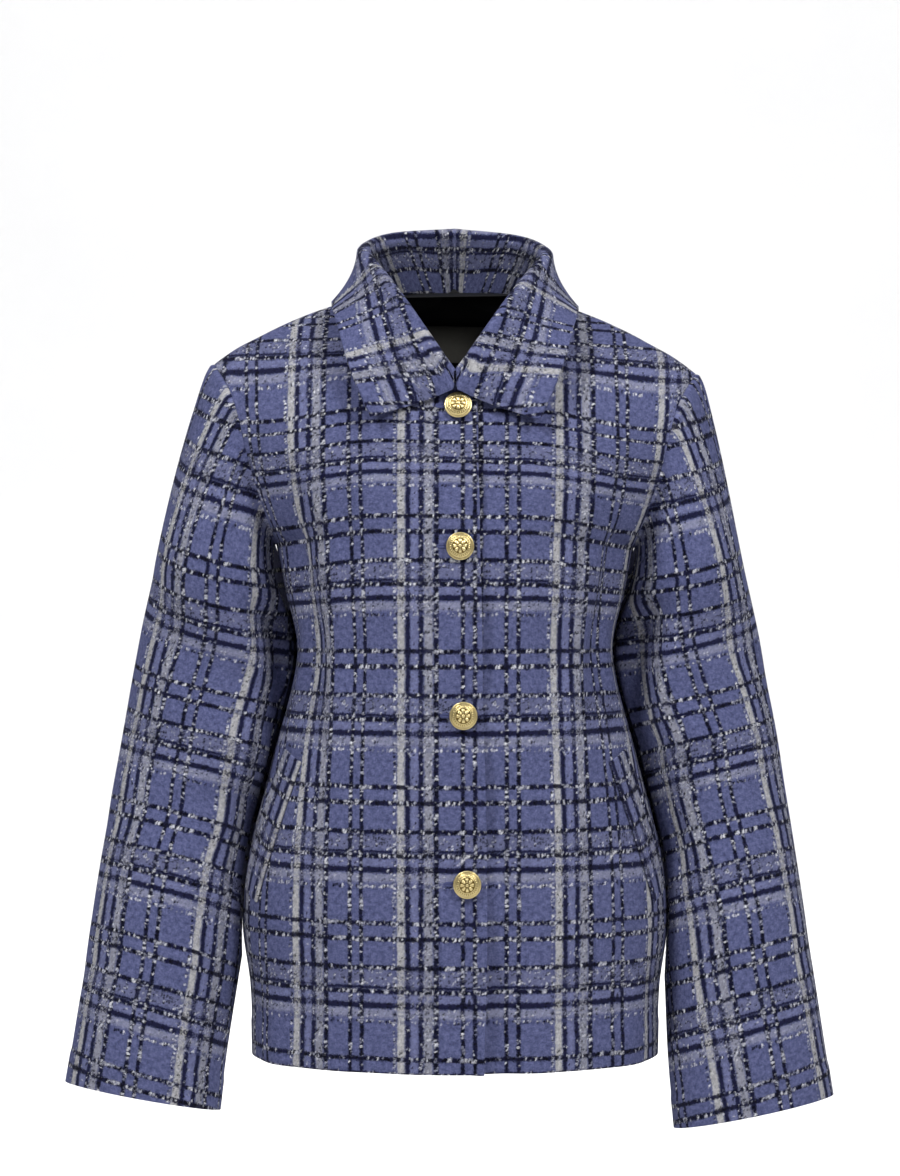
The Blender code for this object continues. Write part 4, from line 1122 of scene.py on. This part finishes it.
def armhole_frame(rows):
    """The armhole edge: its outer points, the cloth's normals, and the way the cloth would run on."""
    step = 0.02
    here = np.clip(rows, ROW["front underarm"] + step, ROW["back underarm"] - step)
    normal = body_normal(np.full_like(here, 0.999), here)
    onward = unit(np.cross(normal, outer_end(here + step) - outer_end(here - step)))
    away = outer_end(here) - body(np.full_like(here, 0.97), here)
    onward = np.where((onward * away).sum(-1, keepdims=True) < 0, -onward, onward)
    return outer_end(rows), normal, onward


def sleeve_points(side):
    """The angles round a sleeve and its points, from under the armhole's edge over the cap to the cuff."""
    angles = np.linspace(0, 2 * math.pi, SLEEVE_COLUMNS + 1)
    start, normal, onward = armhole_frame(armhole_rows(angles))
    origin = start + onward * SEAM_GAP
    top = np.cos(angles / 2)[:, None] ** 2
    end = sleeve_ring(side, 0.0, angles)
    fall = unit(sleeve_ring(side, 0.02, angles) - end)
    lead = onward * (UNDERARM_FULLNESS + (HEAD_FULLNESS - UNDERARM_FULLNESS) * top)
    drop = fall * (UNDERARM_FALL + (CAP_FALL - UNDERARM_FALL) * top)
    rings = [start - onward * SEAM_TUCK - normal * (CLOTH + SEAM_GAP), start - normal * SEAM_DIP]
    for share in np.linspace(0, 1, CAP_STEPS - 1)[:-1] ** CAP_CROWDING:
        t2, t3 = share ** 2, share ** 3
        point = ((2 * t3 - 3 * t2 + 1) * origin + (t3 - 2 * t2 + share) * lead
                 + (3 * t2 - 2 * t3) * end + (t3 - t2) * drop)
        roll = HEAD_ROLL * top ** 2 * smooth(share / ROLL_RISE) * smooth((ROLL_END - share) / ROLL_FADE)
        puckers = PUCKER_HEIGHT * np.sin(angles * PUCKERS + 3 * np.sin(angles * 5))[:, None] * top
        puckers = puckers * smooth(share / PUCKER_RISE) * smooth((PUCKER_END - share) / PUCKER_FADE)
        rings.append(point + normal * (roll + puckers))
    places = np.linspace(0, 1, SLEEVE_STEPS + 1)
    tube = sleeve_ring(side, places[:, None], angles[None, :])
    return angles, np.concatenate([np.stack(rings), tube])


print("caps of", CAP_STEPS, "rings on tubes of", SLEEVE_STEPS + 1)

# %% [markdown]
# ## Sewing the sleeves
# The weave map runs round the sleeve from the line down its front and down it from the first ring, at
# true lengths. The cloth was cut a little off the straight, so the stripes lean, and the map leans with
# them. The change from one end of the chart to the other lies at the back of the sleeve, where a tailor
# would put the seam.

# %% Sew the sleeves
CUFF_RIDGE = 0.7
CUFF_DEPTH = 30
FRONT_COLUMN = SLEEVE_COLUMNS // 4
LENGTH_COLUMN = SLEEVE_COLUMNS // 8
BACK_SEAM_ANGLE = 1.3 * math.pi
AXIS_RING = 12
# millimetres along the warp chart at the front line and their gain down the sleeve,
# then millimetres down the weft chart at the first ring and their gain round it
SLEEVE_GRAIN = {-1: (7.4, 0.026, -14.8, -0.106), 1: (14.6, -0.065, -21.6, 0.090)}
WEFT_EASE = 1.025


def sleeve_weave(side, angles, points):
    """The weave map of a sleeve: round it from the line at its front, and down it from the first ring."""
    tube = points[CAP_STEPS:]
    run = run_along(tube, 1)
    round_it = run - run[:1, FRONT_COLUMN]
    round_it = np.where(angles > BACK_SEAM_ANGLE, round_it - run[:, -1:], round_it)
    down = np.broadcast_to(run_along(tube)[:, LENGTH_COLUMN, None], round_it.shape)
    axis = unit((tube[AXIS_RING] - tube[0]).mean(0))
    cap_down = ((points[:CAP_STEPS] - tube[0].mean(0)) * axis).sum(-1)
    cap_down = cap_down - ((tube[0] - tube[0].mean(0)) * axis).sum(-1)
    cap_round = np.broadcast_to(round_it[0], cap_down.shape)
    across, down = -side * np.concatenate([cap_round, round_it]), np.concatenate([cap_down, down])
    warp_start, warp_lean, weft_start, weft_lean = SLEEVE_GRAIN[side]
    along_warp = across + warp_start + warp_lean * down
    return np.stack([along_warp, WEFT_EASE * down + weft_start + weft_lean * across], -1)


def sew_sleeve(side, name):
    angles, points = sleeve_points(side)
    weave = sleeve_weave(side, angles, points)
    from_cuff = np.linalg.norm(points - points[-1:], axis=-1)
    middle = points.mean(1, keepdims=True)
    ridge = CUFF_RIDGE * smooth((CUFF_DEPTH - from_cuff) / RIDGE_SLOPE)
    points = points + unit(points - middle) * ridge[..., None]
    bm = grid_sheet(mirrored(points, side), weave)
    seam = [vertex for vertex in bm.verts if vertex.is_boundary]
    bmesh.ops.remove_doubles(bm, verts=seam, dist=1e-5)
    face_towards(bm, (320 * side, 0, -500), (side, 0, 0))
    return give_wall(add_piece(name, bm, BOUCLE, LINING), CLOTH)


sleeve_right = finish_piece(sew_sleeve(-1, "sleeve_right_cloth"), "sleeve_right")
sleeve_left = finish_piece(sew_sleeve(1, "sleeve_left_cloth"), "sleeve_left")

# %% [markdown]
# ## The collar
# The collar is one doubled strip: a stand that rises from the neckline, a soft roll, and a fall that
# turns down to two points. Stations round the neck give the top of the roll and the free edge, and each
# station draws a profile: straight up the stand, round the roll, and down the fall in a gentle bow. In
# front the corner dips and is drawn in towards the middle line, where the two ends nearly meet above the
# first button.

# %% Form of the collar
# share of the neckline passed, top of the fold x, y, z, free edge x, y, z
COLLAR = np.array([
    (0.00, 2, -102, -65, 71, -113, -106), (0.12, 20, -95, -38, 83, -108, -80),
    (0.28, 41, -79, -7, 94, -92, -50), (0.44, 60, -52, 20, 102, -62, -22),
    (0.60, 76, -18, 41, 107, -18, -4), (0.76, 79, 20, 54, 104, 34, 4),
    (0.89, 56, 56, 68, 74, 76, 4), (1.00, 0, 73, 75, 0, 86, 0)], float)
COLLAR_CLOTH = 3.0
COLLAR_STATIONS = 110
FOLD_RADIUS = 4.6
STAND_INSET = 0.7
STAND_LIFT = 1.2
FALL_BOW = 0.45
CORNER_DIP = np.array([-11, -5, -10])
CORNER_SHARE = 0.12
CORNER_STATIONS = 1.0
CORNER_GAP = 1.0
CORNER_REACH = 0.6
# the points of a profile that are drawn in, counted from the end of the roll, and how many they fade over
PULL_FIRST, PULL_RISE, PULL_LAST, PULL_FADE = -7, 3, 4, 2
STAND_STEPS, ROLL_STEPS, FALL_STEPS = 12, 10, 26


def neckline(share):
    """Points of the neck edge from the front middle to the back middle, and the level way in to the neck."""
    rows = np.linspace(ROW["front neck"], ROW["back neck"], 300)
    points = inner_end(rows)
    run = run_along(points)
    run /= run[-1]
    found = np.stack([np.interp(share, run, points[:, k]) for k in range(3)], -1)
    heading = np.stack([np.interp(share, run, np.gradient(points[:, k])) for k in range(3)], -1)
    inward = np.stack([-heading[..., 1], heading[..., 0], np.zeros_like(share)], -1)
    return found, unit(inward)


def collar_profiles(places):
    """Points of the collar's middle face, one profile for each station, from the neck to the free edge."""
    share, *rest = [through(COLLAR[:, k], places) for k in range(7)]
    fold, edge = np.stack(rest[:3], -1), np.stack(rest[3:], -1)
    seam, inward = neckline(np.clip(share, 0, 1))
    base = seam + inward * (COLLAR_CLOTH / 2 + STAND_INSET) + np.array([0, 0, STAND_LIFT])
    roll = unit(np.gradient(fold, axis=0))
    roll[-1] = (-1, 0, 0)

    def square_to_roll(way):
        return unit(way - roll * (way * roll).sum(-1, keepdims=True))

    top = -unit(square_to_roll(base - fold) + square_to_roll(edge - fold))
    outward = unit(np.cross(top, roll))
    outward = np.where((outward * inward).sum(-1, keepdims=True) > 0, -outward, outward)
    centre = fold - top * FOLD_RADIUS
    arc = [centre + FOLD_RADIUS * (top * math.sin(a) - outward * math.cos(a))
           for a in np.linspace(0, math.pi, ROLL_STEPS + 1)]
    stand = [base + (arc[0] - base) * k / STAND_STEPS for k in range(STAND_STEPS)]
    control = arc[-1] - top * np.linalg.norm(edge - arc[-1], axis=-1, keepdims=True) * FALL_BOW
    dip = CORNER_DIP * smooth(1 - places / CORNER_STATIONS)[:, None]
    fall = []
    for t in np.linspace(0, 1, FALL_STEPS + 1)[1:]:
        point = (1 - t) ** 2 * arc[-1] + 2 * t * (1 - t) * control + t * t * edge
        fall.append(point + dip * (1 - t) * smooth(t / CORNER_SHARE))
    points = np.stack(stand + arc + fall, 1)
    numbers = np.arange(points.shape[1]) - (STAND_STEPS + ROLL_STEPS)
    along = smooth((numbers - PULL_FIRST) / PULL_RISE) * smooth((PULL_LAST - numbers) / PULL_FADE)
    pull = np.maximum(0, points[:1, :, 0] - CORNER_GAP) * along
    points[..., 0] -= pull * smooth(1 - places / CORNER_REACH)[:, None]
    return points


PROFILE_POINTS = STAND_STEPS + ROLL_STEPS + FALL_STEPS + 1
print("collar profile of", PROFILE_POINTS, "points at", COLLAR_STATIONS, "stations")

# %% [markdown]
# ## Unrolling the collar
# So the strip is unrolled first: from the middle of the back, each new station is laid beside the last
# one at its true distances, as two strokes of a pair of compasses would find it. Towards the front the
# cloth is eased a little, by a different amount on each side.

# %% Unroll the collar
COLLAR_STRETCH = 1.09
COLLAR_GREY_AT = -11
COLLAR_CUT_TURN = math.radians(8)
COLLAR_TURN_LENGTH = 120
# millimetres down the weft chart at the free edge, station by station
COLLAR_EDGE_WEFT = (62, 65, 69, 74, 83, 96, 111, 121)
# on each side the cloth is eased towards the front: from where, over what length, how much at fold and edge
COLLAR_EASE = {-1: (130, 40, 6, 7), 1: (140, 50, 13, 0)}


def beside(first, second, to_first, to_second):
    """The flat point at two distances from two flat points, right of the way from the first to the second."""
    way = second - first
    length = np.hypot(*way)
    along = (to_first ** 2 - to_second ** 2 + length ** 2) / (2 * length)
    aside = math.sqrt(max(0.0, to_first ** 2 - along ** 2))
    way = way / length
    return first + way * along + np.array([way[1], -way[0]]) * aside


def unrolled(upper, lower):
    """Two edges of a strip laid flat from their last stations, each at its distances to the one before."""
    upper, lower = upper[::-1], lower[::-1]
    flat_upper, flat_lower = [np.zeros(2)], [np.array([0.0, -np.linalg.norm(upper[0] - lower[0])])]
    for a0, a1, e0, e1 in zip(upper, upper[1:], lower, lower[1:]):
        length = np.linalg.norm
        a = beside(flat_lower[-1], flat_upper[-1], length(a1 - e0), length(a1 - a0))
        flat_upper.append(a)
        flat_lower.append(beside(flat_lower[-1], a, length(e1 - e0), length(e1 - a1)))
    return np.array(flat_upper[::-1]), np.array(flat_lower[::-1])


def collar_weave(places, points, side):
    """The weave map of half the collar: along it from the middle of the back, and down it from its edge."""
    roll_top = STAND_STEPS + ROLL_STEPS // 2
    flat_fold, flat_edge = unrolled(points[:, roll_top], points[:, -1])
    run = run_along(points, 1)
    share = (run - run[:, roll_top:roll_top + 1]) / (run[:, -1:] - run[:, roll_top:roll_top + 1])
    flat = flat_fold[:, None, :] + (flat_edge - flat_fold)[:, None, :] * share[..., None]
    turn = math.sin(COLLAR_CUT_TURN) * smooth(flat[..., 0] / COLLAR_TURN_LENGTH)
    along = flat[..., 0] + flat[..., 1] * turn
    begin, length, at_fold, at_edge = COLLAR_EASE[side]
    along = along - smooth((along - begin) / length) * (at_fold + (at_edge - at_fold) * np.clip(share, 0, 1))
    across = -side * COLLAR_STRETCH * along + GREY_MIDDLE - COLLAR_GREY_AT
    down = through(COLLAR_EDGE_WEFT, places)[:, None] - (run[:, -1:] - run)
    return np.stack([across, down], -1)


print("free edge runs", COLLAR_EDGE_WEFT[0], "to", COLLAR_EDGE_WEFT[-1], "mm down the weft chart")

# %% [markdown]
# ## Sewing the collar
# The two halves are made and welded like those of the back. The inside of the stand gets painted shade,
# standing in for the shadow inside the neck: its vertices carry an attribute that the cloth reads and
# darkens by. The wall grows to both sides of the sheet, because the collar shows both of its faces.

# %% Sew the collar
def sew_collar():
    places = np.linspace(0, len(COLLAR) - 1, COLLAR_STATIONS)
    points = collar_profiles(places)
    points[-1, :, 0] = 0.0
    halves = []
    for side in (-1, 1):
        half = grid_sheet(mirrored(points, side), collar_weave(places, points, side))
        # painted shade: the stand's vertices are marked to be darkened, standing in for the shadow inside the
        # neck
        painted_stand_shade = half.verts.layers.float.new("painted_stand_shade")
        for number, vertex in enumerate(half.verts):
            vertex[painted_stand_shade] = 1.0 if number % points.shape[1] < STAND_STEPS else 0.0
        halves.append(half)
    bm, half = halves
    join_halves(bm, half)
    face_towards(bm, (0, 86, 10), (0, 1, 0))
    return give_wall(add_piece("collar_cloth", bm, BOUCLE), COLLAR_CLOTH, offset=0.0, edge=1.1)


collar = finish_piece(sew_collar(), "collar")

# %% [markdown]
# ## The pocket welts
# Each front has a slanting welt pocket whose strip is cut to match the check, so it shows only as an edge
# and a shadow. It is made from the front's own surface, lifted by its seam and gaping slightly along its
# free edge.

# %% Sew the welts
WELT_CLOTH = 2.2
WELT_TOP = np.array([146.0, -398.0])
WELT_FOOT = np.array([191.0, -520.0])
WELT_WIDTH = 29
WELT_GAPE = 2.2
WELT_CLEARANCE = 0.2
WELT_SEAM_SHARE = 0.004
WELT_STEPS = (64, 18)
# millimetres along the warp chart at each welt's seam
WELT_WARP_AT = {-1: 47, 1: 51}


def solve(function, goal, low, high):
    """The place between low and high where a rising function of arrays reaches its goal."""
    low, high = np.full_like(goal, low), np.full_like(goal, high)
    for _ in range(26):
        middle = (low + high) / 2
        short = function(middle) < goal
        low, high = np.where(short, middle, low), np.where(short, high, middle)
    return low


def sew_welt(side, name):
    seam = WELT_FOOT - WELT_TOP
    aside = np.array([-seam[1], seam[0]]) / np.hypot(*seam)
    along, across = np.meshgrid(*[np.linspace(0, 1, steps) for steps in WELT_STEPS], indexing="ij")
    place = WELT_TOP + seam * along[..., None] + aside * WELT_WIDTH * across[..., None]
    row = solve(lambda rows: body(0.7, rows)[..., 2], place[..., 1], 0.0, float(ROW["front underarm"]))
    share = solve(lambda shares: girth_of(shares, row), place[..., 0], 0.0, 1.0)
    share = np.minimum(share, seam_share(row) - WELT_SEAM_SHARE)
    lift = SEAM_GAP + WELT_CLEARANCE + WELT_GAPE * across ** 2 * np.sin(math.pi * along) + WELT_CLOTH
    points = front_point(side, share, row, lift)
    down = np.broadcast_to(front_weave(side, share, row, points)[:, :1, 1], across.shape)
    bm = grid_sheet(mirrored(points, side), np.stack([WELT_WARP_AT[side] + WELT_WIDTH * across, down], -1))
    face_towards(bm, (150 * side, -80, -460), (side, -1, 0))
    return give_wall(add_piece(name, bm, BOUCLE), WELT_CLOTH)


welt_right = finish_piece(sew_welt(-1, "welt_right_cloth"), "welt_right")
welt_left = finish_piece(sew_welt(1, "welt_left_cloth"), "welt_left")

# %% [markdown]
# ## The back neck lining and its label
# Through the neck the camera sees the black lining of the back and a small plain label sewn to it. Both
# follow the back's own surface, moved in by the thickness of what lies behind them. The lining's upper
# edge turns up over the neck seam, where the collar covers it from the other side. Above the nape the
# sheet also bridges the back of the neck, which the real lining doesn't.

# %% Sew the lining and the label
LINING_CLOTH = 1.0
LINING_GAP = 1.6
LINING_REACH = 2 / 3
LINING_STEPS = (61, 40)
NECK_TURN = 7
NECK_TURN_IN = 2.0
NECK_TURN_UP = 7.0
LABEL_CLOTH = 0.8
LABEL_HALF_WIDTH = 33
LABEL_TOP = -10
LABEL_FOOT = -43
LABEL_STEPS = 20


def both_halves(points, weave):
    """Half a sheet and its mirror image as one array.

    Where the half starts off the middle line, as it does above the nape, a strip of cloth joins the two."""
    left = points[:, ::-1] * np.array([-1, 1, 1])
    mapped = weave[:, ::-1] * np.array([-1, 1])
    return np.concatenate([left[:, :-1], points], 1), np.concatenate([mapped[:, :-1], weave], 1)


def sew_lining():
    rows = np.linspace(ROW["back neck top"], ROW["back armhole low"], LINING_STEPS[0])
    share = seam_share(rows)[:, None] * LINING_REACH * np.linspace(0, 1, LINING_STEPS[1])
    row = np.broadcast_to(rows[:, None], share.shape)
    points = cloth_point(share, row, BACK_FOLDS, -(CLOTH + LINING_GAP))
    weave = np.stack([girth_of(share, row) + inner_end(row)[..., 0], -points[..., 2]], -1)
    seam, inward = neckline(np.linspace(0, 1, 200))
    apart = np.linalg.norm(body(share, row)[:, :, None, :] - seam, axis=-1)
    nearest, near = apart.argmin(-1), smooth(1 - apart.min(-1) / NECK_TURN)[..., None]
    points = points + near * (inward[nearest] * NECK_TURN_IN + np.array([0, 0, NECK_TURN_UP]))
    bm = grid_sheet(*both_halves(points, weave))
    face_towards(bm, (0, 95, -100), (0, 1, 0))
    return give_wall(add_piece("back_neck_lining_cloth", bm, LINING), LINING_CLOTH, edge=0.2)


def sew_label():
    girth, z = np.meshgrid(np.linspace(0, LABEL_HALF_WIDTH, LABEL_STEPS),
                           np.linspace(LABEL_TOP, LABEL_FOOT, LABEL_STEPS))
    share = np.full_like(girth, 0.1)
    for _ in range(3):
        row = solve(lambda rows: -body(share, rows)[..., 2], -z,
                    float(ROW["back neck"]), float(ROW["back underarm"]))
        share = solve(lambda shares: girth_of(shares, row), girth, 0.0, 1.0)
    points = cloth_point(share, row, BACK_FOLDS, -(CLOTH + LINING_GAP + LINING_CLOTH + LINING_GAP))
    points[:, 0, 0] = 0.0
    bm = grid_sheet(*both_halves(points, np.stack([girth, -z], -1)))
    face_towards(bm, (0, 80, -25), (0, 1, 0))
    return give_wall(add_piece("label_cloth", bm, LABEL), LABEL_CLOTH, edge=0.2)


back_neck_lining = finish_piece(sew_lining(), "back_neck_lining")
label = finish_piece(sew_label(), "label")

# %% [markdown]
# ## The buttons
# Four domed metal buttons close the front, each with a rolled rim, a ring of beads and a plain rosette in
# low relief. A lathe makes such things, and in bmesh the lathe is spin: a profile of a few points is
# turned round an axis.

# %% Draw the button
BUTTON_RADIUS = 11.8
BUTTON_RIM = 0.9
BUTTON_DOME = 4.4
SHANK_RADIUS = 3.0
SHANK_LENGTH = 2.4
DOME_RADIUS = BUTTON_RADIUS - 1.6 * BUTTON_RIM


def turned(profile, steps, weld):
    """A bmesh turned on a lathe: a profile of radius and height in metres, spun round the Z axis."""
    bm = bmesh.new()
    line = [bm.verts.new((radius, 0, height)) for radius, height in profile]
    edges = [bm.edges.new(pair) for pair in zip(line, line[1:])]
    bmesh.ops.spin(bm, geom=line + edges, cent=(0, 0, 0), axis=(0, 0, 1), angle=2 * math.pi, steps=steps,
                   use_merge=True)
    bmesh.ops.remove_doubles(bm, verts=bm.verts[:], dist=weld)
    bmesh.ops.recalc_face_normals(bm, faces=bm.faces[:])
    for face in bm.faces:
        face.smooth = True
    return bm


def button_profile():
    """Radius and height from the middle of the dome over the rim to the foot of the shank."""
    back, rim_top = SHANK_LENGTH, SHANK_LENGTH + 2 * BUTTON_RIM
    profile = [(0.0, rim_top + BUTTON_DOME - BUTTON_RIM)]
    for a in np.linspace(0, math.pi / 2, 33)[1:-1]:
        profile.append((DOME_RADIUS * math.sin(a), rim_top - BUTTON_RIM + BUTTON_DOME * math.cos(a)))
    for a in np.linspace(math.radians(160), math.radians(-90), 13):
        profile.append((BUTTON_RADIUS - BUTTON_RIM + BUTTON_RIM * math.cos(a),
                        rim_top - BUTTON_RIM + BUTTON_RIM * math.sin(a)))
    return profile + [(SHANK_RADIUS, back), (SHANK_RADIUS, 0.0), (0.0, 0.0)]


print("button", 2 * BUTTON_RADIUS, "mm across, from a profile of", len(button_profile()), "points")

# %% [markdown]
# ## The relief on the buttons
# The relief is pressed into the dome: each of its vertices is raised by a height that depends on its
# distance from the middle and its angle. The same height is kept as the attribute "raised", so that the
# gold can be darker in the hollows. Each button then stands on the upper front, square to the cloth.

# %% Turn the buttons
BUTTON_INSET = 17
BUTTON_STEPS = 112
RELIEF_HEIGHT = 0.5
PETALS = 8
BEADS = 28
# where the parts of the relief lie, as shares of the way from the middle of the dome to its rim
BOSS_END = 0.15
ROSETTE_START, ROSETTE_LENGTH = 0.17, 0.43
RING_AT, RING_WIDTH = 0.67, 0.035
BEADS_AT, BEADS_WIDTH = 0.79, 0.05
FIELD_START, FIELD_RISE = 0.84, 0.06


def relief(radius, angle):
    """Height of the rosette and the beads on the dome, from 0 to about 1."""
    share = radius / DOME_RADIUS
    petal = abs(math.cos(angle * PETALS / 2)) ** 1.5
    vein = 1 - 0.5 * math.exp(-(math.sin(angle * PETALS / 2) / 0.16) ** 2)
    along = min(1.0, max(0.0, (share - ROSETTE_START) / ROSETTE_LENGTH))
    rosette = petal * vein * math.sin(math.pi * along) ** 0.7
    boss = max(0.0, 1 - (share / BOSS_END) ** 4)
    ring = 0.8 * math.exp(-((share - RING_AT) / RING_WIDTH) ** 2)
    beads = math.exp(-((share - BEADS_AT) / BEADS_WIDTH) ** 2) * abs(math.cos(angle * BEADS / 2))
    field = 0.9 * min(1.0, max(0.0, (share - FIELD_START) / FIELD_RISE))
    return max(rosette, boss, ring, beads, field)


def turn_button(name, foot, normal):
    profile = [(radius * MM, height * MM) for radius, height in button_profile()]
    bm = turned(profile, BUTTON_STEPS, 1e-6)
    raised = bm.verts.layers.float.new("raised")
    rim_height = (SHANK_LENGTH + BUTTON_RIM) * MM
    for vertex in bm.verts:
        radius = math.hypot(vertex.co.x, vertex.co.y) / MM
        vertex[raised] = 1.0
        if vertex.co.z > rim_height and radius < BUTTON_RADIUS - 1.7 * BUTTON_RIM:
            vertex[raised] = relief(radius, math.atan2(vertex.co.y, vertex.co.x))
            vertex.co.z += RELIEF_HEIGHT * vertex[raised] * MM
    turn = Vector((0, 0, 1)).rotation_difference(Vector(normal)).to_matrix().to_4x4()
    bm.transform(Matrix.Translation(Vector(foot) * MM) @ turn)
    return add_piece(name, bm, GOLD)


def button_places():
    """The foot and the normal of each button on the upper front."""
    heights = np.array(BUTTON_HEIGHTS, float)
    rows = solve(lambda places: inner_end(places)[..., 2], heights, 0.0, float(ROW["front neck"]))
    lap = through(TABLE[:, 7], rows, INNER_CORNERS) - BUTTON_INSET
    shares = -lap / np.linalg.norm(share_slope(np.zeros_like(rows), rows), axis=-1)
    feet = hung(mirrored(front_point(-1, shares, rows, SEAM_GAP), -1))
    normals = body_normal(np.abs(shares), rows)
    return rows, shares, feet, mirrored(normals, -1)


button_rows, button_shares, button_feet, button_normals = button_places()
for number, (foot, normal) in enumerate(zip(button_feet, button_normals), 1):
    finish_piece(turn_button(f"button_{number}_gold", foot, normal), f"button_{number}")

# %% [markdown]
# ## The buttonholes
# A worked buttonhole is a slit whose two lips are bound with close stitches. Beside each button the end
# of its buttonhole shows. A strip of the front's own surface, lifted a little, narrows to a round end on
# both sides, and its section rises to two lips with the slit as a groove between them.

# %% Work the buttonholes
HOLE_BEGIN = 3.0
HOLE_LENGTH = 23.0
HOLE_WIDTH = 4.6
HOLE_LIFT = 0.9
HOLE_CLEARANCE = 0.1
HOLE_NARROWEST = 0.06
THREAD_WALL = 0.3
HOLE_STEPS = (40, 14)


def work_buttonhole(name, row, share):
    """The bound lips of one buttonhole, from just outside the shank towards the side of the front."""
    places = np.linspace(0, 1, HOLE_STEPS[0]), np.linspace(-1, 1, HOLE_STEPS[1])
    along, across = np.meshgrid(*places, indexing="ij")
    full = 1 - (2 * along - 1) ** 8
    half = HOLE_WIDTH / 2 * np.maximum(HOLE_NARROWEST, full) ** 0.5
    girth_step = np.linalg.norm(share_slope(np.zeros(1), np.array([row])))
    shares = share + (HOLE_LENGTH * along - HOLE_BEGIN) / girth_step
    heights = body(np.zeros(1), np.array([row]))[0, 2] + across * half
    rows = solve(lambda tried: body(np.maximum(shares, 0), tried)[..., 2], heights, row - 1.0, row + 1.0)
    lips = HOLE_LIFT * np.sin(math.pi * np.abs(across)) ** 0.6 * full + HOLE_CLEARANCE
    bm = grid_sheet(mirrored(front_point(-1, shares, rows, lips), -1), np.stack([along, across], -1))
    face_towards(bm, button_feet[0], (0, -1, 0))
    return give_wall(add_piece(name, bm, THREAD), THREAD_WALL, edge=0.05)


for number, (row, share) in enumerate(zip(button_rows, button_shares), 1):
    hole = work_buttonhole(f"buttonhole_{number}_thread", row, share)
    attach(hole, "root")
    PIECES.append(hole)
    print(hole.name, triangles(hole), "triangles")

# %% [markdown]
# ## The sweep
# A studio for pale product pictures has a white sweep: a floor that curves up into the background, so no
# line shows behind the object. Here it is a wide dish, the same from every side, and the lathe of the
# buttons turns it too.

# %% Build the sweep
FLOOR_Z = -1.05
FLOOR_RADIUS = 5.0
SWEEP_RADIUS = 9.0
SWEEP_STEPS = 64


def sweep_finish():
    made, tree, shader = new_finish("pale_sweep", Roughness=0.9)
    place = add_node(tree, "ShaderNodeTexCoord").outputs["Object"]
    cloudy = add_node(tree, "ShaderNodeTexNoise", {"Vector": place, "Scale": 1.5, "Detail": 3.0})
    colour = blend(tree, cloudy.outputs["Fac"], linear(244, 244, 245), linear(249, 249, 249))
    tree.links.new(colour, shader.inputs["Base Color"])
    return made


profile = [(radius, FLOOR_Z) for radius in (0.0, 1.0, 2.5, FLOOR_RADIUS)]
spread = SWEEP_RADIUS - FLOOR_RADIUS
for a in np.linspace(0, math.pi / 2, 12)[1:]:
    profile.append((FLOOR_RADIUS + spread * math.sin(a), FLOOR_Z + spread * (1 - math.cos(a))))
floor = add_piece("pale_floor", turned(profile, SWEEP_STEPS, 1e-5), sweep_finish())
floor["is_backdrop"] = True
print(floor.name, triangles(floor), "triangles")

# %% [markdown]
# ## Light
# Two soft lamps stand high in front, one on each side, and a weak one hangs above. They light the cloth
# from the sides, so the folds, the gap beside each sleeve and the shade under the collar stay dark. A
# lamp behind serves views of the back. Four more face the walls of the sweep, the strongest one the wall
# behind the jacket, so that it looks white. The world is nearly dark, because light from all round would
# fill the shadows.

# %% Set up the lamps
WORLD_STRENGTH = 0.02
world = bpy.data.worlds.new("studio")
world.use_nodes = True
world.node_tree.nodes["Background"].inputs["Color"].default_value = (1.0, 1.0, 1.0, 1.0)
world.node_tree.nodes["Background"].inputs["Strength"].default_value = WORLD_STRENGTH
bpy.context.scene.world = world
bpy.context.scene.view_settings.view_transform = "Standard"

# name: place, aimed at, size, watts
LAMPS = {
    "left": ((-1.7, -1.9, 2.1), (0.0, 0.0, -0.35), 0.6, 92),
    "right": ((1.7, -2.1, 1.9), (0.0, 0.0, -0.35), 0.7, 92),
    "top": ((0.0, -0.8, 2.4), (0.0, 0.0, -0.2), 0.8, 8),
    "back": ((0.5, 3.0, 1.2), (0.0, 0.0, -0.3), 1.6, 30),
}
# the way each lamp of the sweep faces, in degrees from +X, and its watts
SWEEP_LAMPS = ((0, 34), (90, 340), (180, 34), (270, 26))
# how far out and up such a lamp stands and aims, and its size
SWEEP_OUT, SWEEP_UP, SWEEP_AIM_OUT, SWEEP_AIM_UP, SWEEP_SIZE = 2.2, 3.2, 8.0, 0.4, 2.5
for turn, watts in SWEEP_LAMPS:
    way = Vector((math.cos(math.radians(turn)), math.sin(math.radians(turn)), 0))
    stand = way * SWEEP_OUT + Vector((0, 0, SWEEP_UP))
    LAMPS[f"sweep_{turn}"] = (stand, way * SWEEP_AIM_OUT + Vector((0, 0, SWEEP_AIM_UP)), SWEEP_SIZE, watts)
for name, (place, aim, size, watts) in LAMPS.items():
    lamp_data = bpy.data.lights.new(name, "AREA")
    lamp_data.energy = watts
    lamp_data.size = size
    lamp = bpy.data.objects.new(name, lamp_data)
    lamp.location = place
    lamp.rotation_euler = (Vector(aim) - Vector(place)).to_track_quat("-Z", "Y").to_euler()
    bpy.context.scene.collection.objects.link(lamp)
print("studio with", len(LAMPS), "lamps")

# %% [markdown]

# %% [markdown]
# ## Measuring
# The dressed jacket is measured: its box and its count of triangles are printed.

# %% Measure and finish
low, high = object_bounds()
print("visual box", tuple(low), tuple(high), "with", sum(triangles(piece) for piece in PIECES), "triangles")
